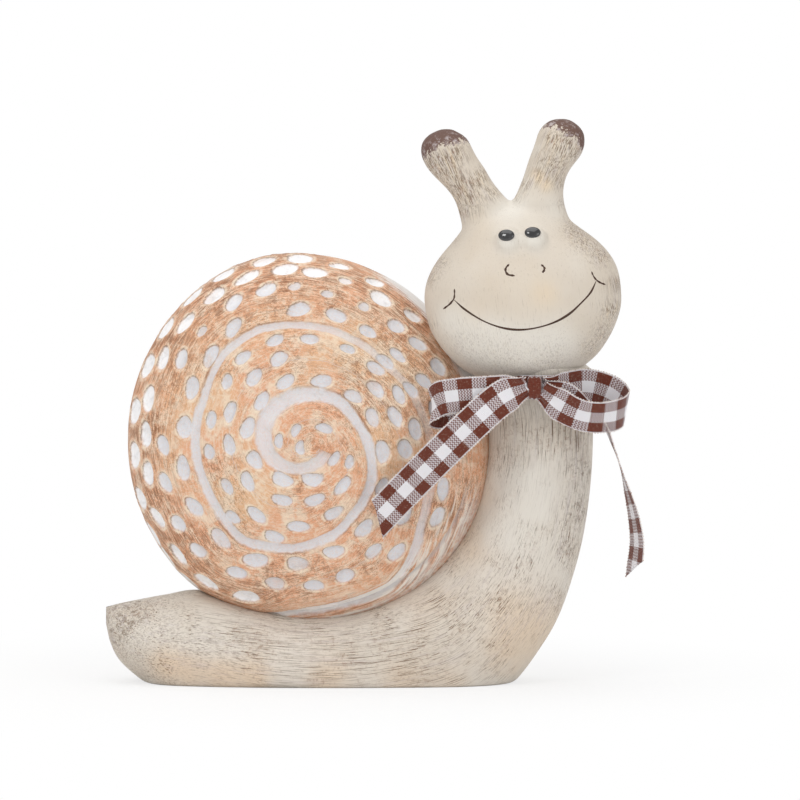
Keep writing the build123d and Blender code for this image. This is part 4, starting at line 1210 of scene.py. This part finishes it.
# The bow. Stations are shares of the reach: sideways from the knot's side, backward, upward.
WEAVE_START = 400.0             # keeps the sums of the weave above zero
KNOT_SIZE = np.array([4.2, 5.0, 7.0])
KNOT_OFF_NECK = 1.0
KNOT_MIDDLE = NECK_TOP + np.array([-1.2, -(NECK_HALF_DEPTH + KNOT_OFF_NECK + KNOT_SIZE[1] / 2), -3.5])
LOOP_REACH, TAIL_REACH = 29.0, 58.0
PLEAT_HEIGHT = 0.55             # of the folds where a strip enters the knot
LOOP_SIZE = 0.2                 # radius of a thread loop on the selvedge
LOOP_RIGHT = (
    (0.00, 0.05, 0.00), (0.19, 0.11, -0.03), (0.44, 0.26, -0.01), (0.65, 0.35, -0.07), (0.78, 0.30, -0.15),
    (0.84, 0.16, -0.22), (0.77, -0.01, -0.265), (0.59, -0.11, -0.29), (0.39, -0.14, -0.265), (0.19, -0.11, -0.17),
    (0.00, -0.05, -0.03),
)  # fmt: skip
LOOP_LEFT = (
    (0.00, 0.035, -0.01), (0.37, 0.17, -0.12), (0.69, 0.25, -0.22), (0.87, 0.22, -0.26), (0.94, 0.13, -0.205),
    (0.87, 0.03, -0.115), (0.70, -0.05, -0.075), (0.47, -0.08, -0.055), (0.22, -0.06, -0.04), (0.00, -0.015, 0.00),
)  # fmt: skip
TAIL_LEFT = (
    (0.00, -0.028, 0.01), (0.13, -0.070, -0.05), (0.28, -0.085, -0.18), (0.43, -0.05, -0.33),
    (0.58, 0.02, -0.487), (0.742, 0.07, -0.66),
)  # fmt: skip
TAIL_RIGHT = (
    (0.00, 0.000, -0.01), (0.095, 0.00, -0.05), (0.22, 0.02, -0.13), (0.315, 0.05, -0.21), (0.36, 0.08, -0.31),
    (0.395, 0.10, -0.41), (0.43, 0.10, -0.535), (0.46, 0.09, -0.66), (0.475, 0.08, -0.785), (0.463, 0.08, -0.91),
)  # fmt: skip

# Turns of a strip about its own run, in degrees, station by station
TAIL_RIGHT_TWISTS = (0, 10, 50, 80, 87, 88, 78, 71, 67, 65)
LOOP_RIGHT_LEANS = (0, 0, 0, 0, -4, -10, -18, -24, -22, -12, 0)


def strip_line(side, shares, reach, twists=None, leans=None):
    """Places along a strip with the direction across it, read at close steps."""
    shell = Dome(bpy.context.scene.snail_shell)
    height = bpy.context.scene.snail_shell.rim_height + shell.radius
    clear_of_shell = 1.1
    places = []
    for sideways, backward, upward in shares:
        x = KNOT_MIDDLE[0] + side * (KNOT_SIZE[0] / 2 + sideways * reach)
        y, z = KNOT_MIDDLE[1] + backward * reach, KNOT_MIDDLE[2] + upward * reach
        radius = hypot(x, z - height)
        if radius < shell.radius:
            over = float(shell.section(shell.reach_at(max(radius - 5, 0)))[1]) + clear_of_shell
            y = min(y, -over)
        places.append((x, y, z))
    path = smooth_through(places, 220)
    steps = travel_along(path)
    even = np.linspace(0, steps[-1], 200)
    path = np.stack([np.interp(even, steps, path[:, k]) for k in range(3)], axis=-1)
    along = unit(np.gradient(path, axis=0))
    if twists is None:
        across = unit(np.array([0, 0, 1.0]) - along * along[:, 2:3])
    else:
        across = unit(np.cross(np.array([0, 1.0, 0]), along))
    for turns in (twists, leans):
        if turns is not None and any(turns):
            turn = np.radians(smooth_through(np.array(turns)[:, None], len(path)))
            across = across * np.cos(turn) + np.cross(along, across) * np.sin(turn)
    return path, along, across, even


def ribbon_sheet(name, path, along, across, travel, width, sizes, pleats=None, closed=False, slants=(0, 0)):
    """A thin woven strip with rounded edges; u runs along it and v from edge to edge."""
    columns = 22
    v = np.linspace(-1, 1, columns)
    normal = np.cross(along, across)
    width = np.broadcast_to(width, len(path))
    shift = np.zeros((len(path), columns))
    if slants != (0, 0):
        share = travel / travel[-1]
        shift += np.outer(np.exp(-share * 40) * slants[0] + np.exp(-(1 - share) * 40) * slants[1], v)
    centre = path[:, None] + across[:, None] * (v[None, :, None] * width[:, None, None] / 2)
    centre = centre + along[:, None] * shift[..., None]
    if pleats is not None:
        centre = centre + normal[:, None] * (pleats[:, None] * np.cos(v * pi * 2.5)[None])[..., None]
    lift = sizes.thickness / 2 * np.sqrt(np.clip(1 - np.abs(v) ** 10, 0.04, 1))
    lift = normal[:, None] * lift[None, :, None]
    points = np.concatenate([centre + lift, (centre - lift)[:, ::-1]], axis=1)
    rows, around = len(path), 2 * columns
    faces = loop_to_faces(rows, around)
    if not closed:
        del faces[(rows - 1) * around :]
        for row in (0, rows - 1):
            for j in range(columns - 1):
                a, d = row * around + j, row * around + around - 1 - j
                faces.append((a, a + 1, d - 1, d) if row == 0 else (d, d - 1, a + 1, a))
    u = np.broadcast_to(travel[:, None], (rows, around)) + np.concatenate([shift, shift[:, ::-1]], axis=1)
    v = np.broadcast_to(np.concatenate([v, v[::-1]]) * sizes.width / 2, (rows, around))
    weave = np.stack([u, v, u * 0], axis=-1)
    piece = make_piece(name, points.reshape(-1, 3), faces, weave=weave.reshape(-1, 3))
    beside = 0.05
    return piece, [centre[:, 0] - across * beside, centre[:, -1] + across * beside]


def gathered(travel, sizes, both_ends, gather=6.0, over=7.0):
    """Width along a strip that is pleated small where it enters the knot, and the pleats' height."""
    from_knot = np.minimum(travel, travel[-1] - travel) if both_ends else travel
    open_share = ramp(from_knot, 0, over)
    return gather + (sizes.width - gather) * open_share, PLEAT_HEIGHT * (1 - open_share)


def picot_edges(name, edges, sizes, material):
    """Small thread loops along the selvedges, set out by Geometry Nodes on the edge curves."""
    curve = bpy.data.curves.new(name, "CURVE")
    curve.dimensions = "3D"
    for edge in edges:
        line = curve.splines.new("POLY")
        line.points.add(len(edge) - 1)
        line.points.foreach_set("co", np.column_stack([edge * MM, np.ones(len(edge))]).ravel())
    piece = add_object(name, curve)
    tree = picot_tree()
    modifier = piece.modifiers.new("picots", "NODES")
    modifier.node_group = tree
    values = {"Step": sizes.picot * MM, "Loop size": LOOP_SIZE * MM, "Material": material}
    for item in tree.interface.items_tree:
        if item.item_type == "SOCKET" and item.in_out == "INPUT" and item.name in values:
            modifier[item.identifier] = values[item.name]
    graph = bpy.context.evaluated_depsgraph_get()
    graph.update()
    mesh = bpy.data.meshes.new_from_object(piece.evaluated_get(graph))
    mesh.name = name
    plain = add_object(name, mesh)
    bpy.data.objects.remove(piece)
    return plain


def picot_tree():
    """Curve in, a row of small loops out."""
    name = "Picot edge"
    if name in bpy.data.node_groups:
        return bpy.data.node_groups[name]
    tree = bpy.data.node_groups.new(name, "GeometryNodeTree")
    for label, kind, way in (
        ("Geometry", "NodeSocketGeometry", "INPUT"),
        ("Step", "NodeSocketFloat", "INPUT"),
        ("Loop size", "NodeSocketFloat", "INPUT"),
        ("Material", "NodeSocketMaterial", "INPUT"),
        ("Geometry", "NodeSocketGeometry", "OUTPUT"),
    ):
        tree.interface.new_socket(label, in_out=way, socket_type=kind)
    source, result, spread, bead, place, uneven, real, coat = (
        tree.nodes.new(kind) for kind in (
            "NodeGroupInput", "NodeGroupOutput", "GeometryNodeCurveToPoints", "GeometryNodeMeshIcoSphere",
            "GeometryNodeInstanceOnPoints", "FunctionNodeRandomValue", "GeometryNodeRealizeInstances",
            "GeometryNodeSetMaterial",
        )
    )
    spread.mode = "LENGTH"
    bead.inputs["Subdivisions"].default_value = 1
    uneven.data_type = "FLOAT_VECTOR"
    uneven.inputs[0].default_value = (0.8, 0.8, 1.1)
    uneven.inputs[1].default_value = (1.25, 1.25, 1.7)
    uneven.inputs["Seed"].default_value = 5
    for start, out, end, into in (
        (source, "Geometry", spread, "Curve"), (source, "Step", spread, "Length"),
        (source, "Loop size", bead, "Radius"), (spread, "Points", place, "Points"),
        (spread, "Rotation", place, "Rotation"), (bead, "Mesh", place, "Instance"),
        (uneven, "Value", place, "Scale"), (place, "Instances", real, "Geometry"),
        (real, "Geometry", coat, "Geometry"), (source, "Material", coat, "Material"),
        (coat, "Geometry", result, "Geometry"),
    ):
        tree.links.new(start.outputs[out], end.inputs[into])
    return tree


def gingham_material(sizes):
    """Plain weave of brown and white thread: three columns across, checks along."""
    paint = Paint("gingham_ribbon")
    split = paint.tree.nodes.new("ShaderNodeSeparateXYZ")
    paint.tree.links.new(paint.vector("weave").socket, split.inputs[0])
    u, v = Wire(paint, split.outputs[0]), Wire(paint, split.outputs[1])
    fuzz = paint.noise(paint.place(), 1600.0, 2.0, 0.5)
    pick, end = (u + WEAVE_START) / sizes.thread, (v + WEAVE_START) / sizes.thread
    warp_up = ((pick.floor() + end.floor()) % 2.0).between(0.4, 0.6)
    middle_edge, selvedge_edge = sizes.width / 6, sizes.width / 2
    dark_warp = v.size().between(middle_edge - 0.02, middle_edge + 0.02)
    dark_weft = (((u + WEAVE_START) / sizes.check).floor() % 2.0).between(0.4, 0.6)
    warp, weft = (paint.layers(paint_of("check_pale"), (dark, "check_dark")) for dark in (dark_warp, dark_weft))
    across_pick, across_end = (((t - t.floor()) - 0.5).size().until(0.1, 0.5) for t in (pick, end))
    rib = (pick / 2.0 - (pick / 2.0).floor() - 0.5).size().until(0.2, 0.32)
    cloth = paint.layers(
        weft,
        (rib * 0.35 + warp_up * 0.65, warp),
        ((dark_warp - dark_weft).size() * 0.22, "check_dark"),
        (v.size().between(selvedge_edge - 0.4, selvedge_edge - 0.25) * 0.8, "check_pale"),
        (fuzz.between(0.5, 0.8) * 0.12, "straw"),
    )
    height = across_pick * (1.0 - warp_up) + across_end * warp_up + across_pick * 0.4
    return paint.finish(
        Base_Color=cloth, Roughness=0.78, Normal=paint.bump(height, 0.00012, 0.6),
        Specular_IOR_Level=0.25, Sheen_Weight=0.25, Sheen_Roughness=0.5,
    )


def thread_material():
    """Thread of the selvedge loops, pale and brown in turn."""
    paint = Paint("selvedge_thread")
    fuzz = paint.noise(paint.place(), 900.0, 2.0, 0.5)
    coat = paint.mix(fuzz.between(0.5, 0.62) * 0.8, colour(232, 222, 214), colour(150, 108, 92))
    return paint.finish(Base_Color=coat, Roughness=0.85, Specular_IOR_Level=0.2)


def neck_band(sizes):
    """The strip round the neck, creased narrower than its full width."""
    turn = full_turn(240)
    middle = (NECK_FOOT + NECK_TOP) / 2
    out = NECK_GAP + sizes.thickness / 2
    path = np.stack([
        middle[0] + (NECK_HALF_WIDTH + out) * np.cos(turn),
        middle[1] + (NECK_HALF_DEPTH + out) * np.sin(turn),
        np.full(len(turn), middle[2]),
    ], axis=-1)
    along = unit(np.roll(path, -1, 0) - np.roll(path, 1, 0))
    lean = NECK_UP / np.linalg.norm(NECK_UP)
    across = unit(lean - along * (along @ lean)[:, None])
    return path, along, across, travel_along(path)


def build_knot(sizes):
    """The turn of ribbon that holds the bow, drawn tight into small folds."""
    rows, columns, squareness = 72, 30, 0.72
    turn = pi + full_turn(rows)
    v = np.linspace(-1, 1, columns)
    y = -KNOT_SIZE[1] / 2 * bulged(np.cos(turn), squareness)
    z = KNOT_SIZE[2] / 2 * bulged(np.sin(turn), squareness)
    pinch = 1 - 0.16 * np.abs(v) ** 3
    fold = 1 + 0.045 * np.cos(v * 9) * (1 - np.abs(v) ** 6)
    round_off = np.sqrt(np.clip(1 - np.abs(v) ** 8, 0.0, 1)) * 0.25 + 0.75
    scale = (pinch * fold * round_off)[:, None] * 0.97
    x = (v * KNOT_SIZE[0] / 2 * 0.99)[:, None]
    grid = np.stack([x + turn * 0, scale * y, scale * z], axis=-1)
    travel = np.concatenate([[0], np.cumsum(np.hypot(np.diff(y), np.diff(z)))])
    dark_middle = (2 * ceil(WEAVE_START / sizes.check / 2) + 1.5) * sizes.check - WEAVE_START
    u = (travel - travel[rows // 2]) * 0.6 + dark_middle
    weave = np.stack([u + x * 0, v[:, None] * 1.5 + 3.2 + turn * 0, x * turn * 0], axis=-1)
    poles = np.array([[x[0, 0] - 0.02, 0, 0], [x[-1, 0] + 0.02, 0, 0]])
    points = np.concatenate([grid.reshape(-1, 3), poles]) + KNOT_MIDDLE
    weave = np.concatenate([weave.reshape(-1, 3), [[0, 4.0, 0], [0, 4.0, 0]]])
    return make_piece("knot_wrap", points, rings_to_faces(columns, rows), weave=weave)


# Operators, one for each piece or group of like pieces


class SNAIL_OT_shell(bpy.types.Operator):
    """Build the shell with its spiral channel and pressed ovals"""

    bl_idname = "snail.shell"
    bl_label = "Shell"

    def execute(self, context):
        piece = build_shell(context.scene.snail_shell)
        hand_over(piece, "peach_ceramic", shell_material(), "shell")
        return {"FINISHED"}


class SNAIL_OT_body(bpy.types.Operator):
    """Build the foot, chest and neck"""

    bl_idname = "snail.body"
    bl_label = "Body"

    def execute(self, context):
        hand_over(build_body(context.scene.snail_body), "washed_ceramic", washed_material(), "body")
        return {"FINISHED"}


class SNAIL_OT_head(bpy.types.Operator):
    """Build the head with its antennae, eyes and the lines of its face"""

    bl_idname = "snail.head"
    bl_label = "Head"

    def execute(self, context):
        head = build_head(context.scene.snail_head)
        hand_over(
            head, "washed_ceramic", head_material(), "head", "antenna_left", "antenna_right", "eye_left", "eye_right"
        )
        glaze = glaze_material()
        for side in ("left", "right"):
            hand_over(build_pupil(side, head), "black_gloss", glaze, f"pupil_{side}")
        hand_over(build_face_lines(head), "black_gloss", ink_material())
        return {"FINISHED"}


class SNAIL_OT_ribbon(bpy.types.Operator):
    """Build the gingham ribbon: band, knot, two loops and two tails"""

    bl_idname = "snail.ribbon"
    bl_label = "Ribbon"

    def execute(self, context):
        sizes = context.scene.snail_ribbon
        gingham, thread = gingham_material(sizes), thread_material()
        flat_tail = (0,) * len(TAIL_LEFT)
        strips = (
            ("loop_left", strip_line(-1, LOOP_LEFT, LOOP_REACH), True, (0, 0)),
            ("loop_right", strip_line(1, LOOP_RIGHT, LOOP_REACH, leans=LOOP_RIGHT_LEANS), True, (0, 0)),
            ("tail_left", strip_line(-1, TAIL_LEFT, TAIL_REACH, flat_tail), False, (0, -3.3)),
            ("tail_right", strip_line(1, TAIL_RIGHT, TAIL_REACH, TAIL_RIGHT_TWISTS), False, (0, 3.0)),
        )
        for name, line, both_ends, slants in strips:
            travel = line[-1]
            wide, pleats = gathered(travel, sizes, both_ends)
            piece, edges = ribbon_sheet(f"gingham_{name}", *line, wide, sizes, pleats, slants=slants)
            hand_over(piece, "gingham_ribbon", gingham, f"ribbon_{name}")
            picots = picot_edges(f"picots_{name}", edges, sizes, thread)
            hand_over(picots, "gingham_ribbon", thread)
            travel[-1] * MM
        band = neck_band(sizes)
        travel = band[-1]
        piece, _ = ribbon_sheet("gingham_band", *band, BAND_HEIGHT * 0.98, sizes, closed=True)
        hand_over(piece, "gingham_ribbon", gingham, "ribbon_band")
        travel[-1] * MM
        hand_over(build_knot(sizes), "gingham_ribbon", gingham, "ribbon_knot")
        return {"FINISHED"}


class SNAIL_OT_stage(bpy.types.Operator):
    """Set out the floor, the lamps and the camera"""

    bl_idname = "snail.stage"
    bl_label = "Stage"

    def execute(self, context):
        lay_floor()
        hang_lamps()
        light_world()
        set_camera()
        context.scene.view_settings.view_transform = "Standard"
        return {"FINISHED"}


def end_in_mix(tree, share, for_light, for_camera, kind):
    """Ends a tree in a mix of what lights the object and what the camera sees."""
    mixer, output = tree.nodes.new("ShaderNodeMixShader"), tree.nodes.new(kind)
    for socket, value in enumerate((share, for_light.outputs[0], for_camera.outputs[0])):
        tree.links.new(value, mixer.inputs[socket])
    tree.links.new(mixer.outputs[0], output.inputs[0])


def lay_floor():
    """A white floor that glows to the camera and catches a soft shadow near the object."""
    reach = 6.0
    mesh = bpy.data.meshes.new("floor")
    corners = [(-reach, -reach, 0), (reach, -reach, 0), (reach, reach, 0), (-reach, reach, 0)]
    mesh.from_pydata(corners, [], [(0, 1, 2, 3)])
    floor = add_object("floor", mesh)
    paint = Paint("floor")
    matt, glow = (paint.tree.nodes.new(kind) for kind in ("ShaderNodeBsdfDiffuse", "ShaderNodeEmission"))
    matt.inputs["Color"].default_value = (0.9, 0.9, 0.9, 1)
    away = paint.node("ShaderNodeVectorMath", {"operation": "LENGTH"}, paint.place(), out="Value")
    seen = paint.node("ShaderNodeLightPath", out="Is Camera Ray")
    share = seen * (away.between(0.07, 0.17) * 0.3 + 0.7)
    end_in_mix(paint.tree, share.socket, matt, glow, "ShaderNodeOutputMaterial")
    mesh.materials.append(paint.material)


# Each lamp's name, place in metres, size in metres and power in watts
LAMPS = (
    ("top", (-0.05, -0.15, 0.95), 0.9, 3.0),
    ("key", (-0.55, -0.95, 0.85), 0.35, 2.5),
    ("fill", (0.75, -0.85, 0.35), 0.6, 1.4),
)
SOFT_LIGHT = 0.72               # strength of the light from all round


def hang_lamps():
    """Area lamps, all aimed at the middle of the object."""
    for name, place, size, power in LAMPS:
        lamp = bpy.data.lights.new(name, "AREA")
        lamp.size, lamp.energy = size, power
        holder = add_object(name, lamp)
        holder.location = place
        aim = Vector((0.02, 0, 0.08)) - Vector(place)
        holder.rotation_euler = aim.to_track_quat("-Z", "Y").to_euler()


def light_world():
    """Soft white light from all round, and a pure white background for the camera."""
    world = bpy.data.worlds.new("studio")
    world.use_nodes = True
    tree = world.node_tree
    tree.nodes.clear()
    soft, white = tree.nodes.new("ShaderNodeBackground"), tree.nodes.new("ShaderNodeBackground")
    soft.inputs["Color"].default_value = white.inputs["Color"].default_value = (1, 1, 1, 1)
    soft.inputs["Strength"].default_value = SOFT_LIGHT
    light = tree.nodes.new("ShaderNodeLightPath")
    end_in_mix(tree, light.outputs["Is Camera Ray"], soft, white, "ShaderNodeOutputWorld")
    bpy.context.scene.world = world


def set_camera():
    """The photograph's view, from far off and a little above."""
    camera = bpy.data.cameras.new("camera")
    holder = add_object("camera", camera)
    camera.sensor_width = 36
    camera.lens = camera.sensor_width * CAMERA_DISTANCE / (IMAGE_PX * PIXEL)
    across, up = photo_place(IMAGE_PX / 2, IMAGE_PX / 2)
    rise = radians(CAMERA_RISE)
    aim = Vector((across, 0, up))
    holder.location = (aim + Vector((0, -cos(rise), sin(rise))) * CAMERA_DISTANCE) * MM
    holder.rotation_euler = (pi / 2 - rise, 0, 0)
    bpy.context.scene.camera = holder


OPERATORS = (SNAIL_OT_shell, SNAIL_OT_body, SNAIL_OT_head, SNAIL_OT_ribbon, SNAIL_OT_stage)


class SNAIL_PT_panel(bpy.types.Panel):
    """Sizes, paints and builders of the snail"""

    bl_label = "Snail"
    bl_idname = "SNAIL_PT_panel"
    bl_space_type = "VIEW_3D"
    bl_region_type = "UI"
    bl_category = "Snail"

    def draw(self, context):
        for key, group in SIZE_GROUPS.items():
            box = self.layout.box()
            box.label(text=group.__name__)
            for name in group.__annotations__:
                box.prop(getattr(context.scene, key), name)
        for operator in OPERATORS:
            self.layout.operator(operator.bl_idname)


def register():
    for group in SIZE_GROUPS.values():
        bpy.utils.register_class(group)
    for operator in (*OPERATORS, SNAIL_PT_panel):
        bpy.utils.register_class(operator)
    for key, group in SIZE_GROUPS.items():
        setattr(bpy.types.Scene, key, PointerProperty(type=group))


def unregister():
    for key in SIZE_GROUPS:
        delattr(bpy.types.Scene, key)
    for operator in (SNAIL_PT_panel, *reversed(OPERATORS)):
        bpy.utils.unregister_class(operator)
    for group in reversed(list(SIZE_GROUPS.values())):
        bpy.utils.unregister_class(group)


def main():
    """Builds every group of pieces in order."""
    register()
    for operator in OPERATORS:
        module, name = operator.bl_idname.split(".")
        getattr(getattr(bpy.ops, module), name)()


if __name__ == "__main__":
    main()
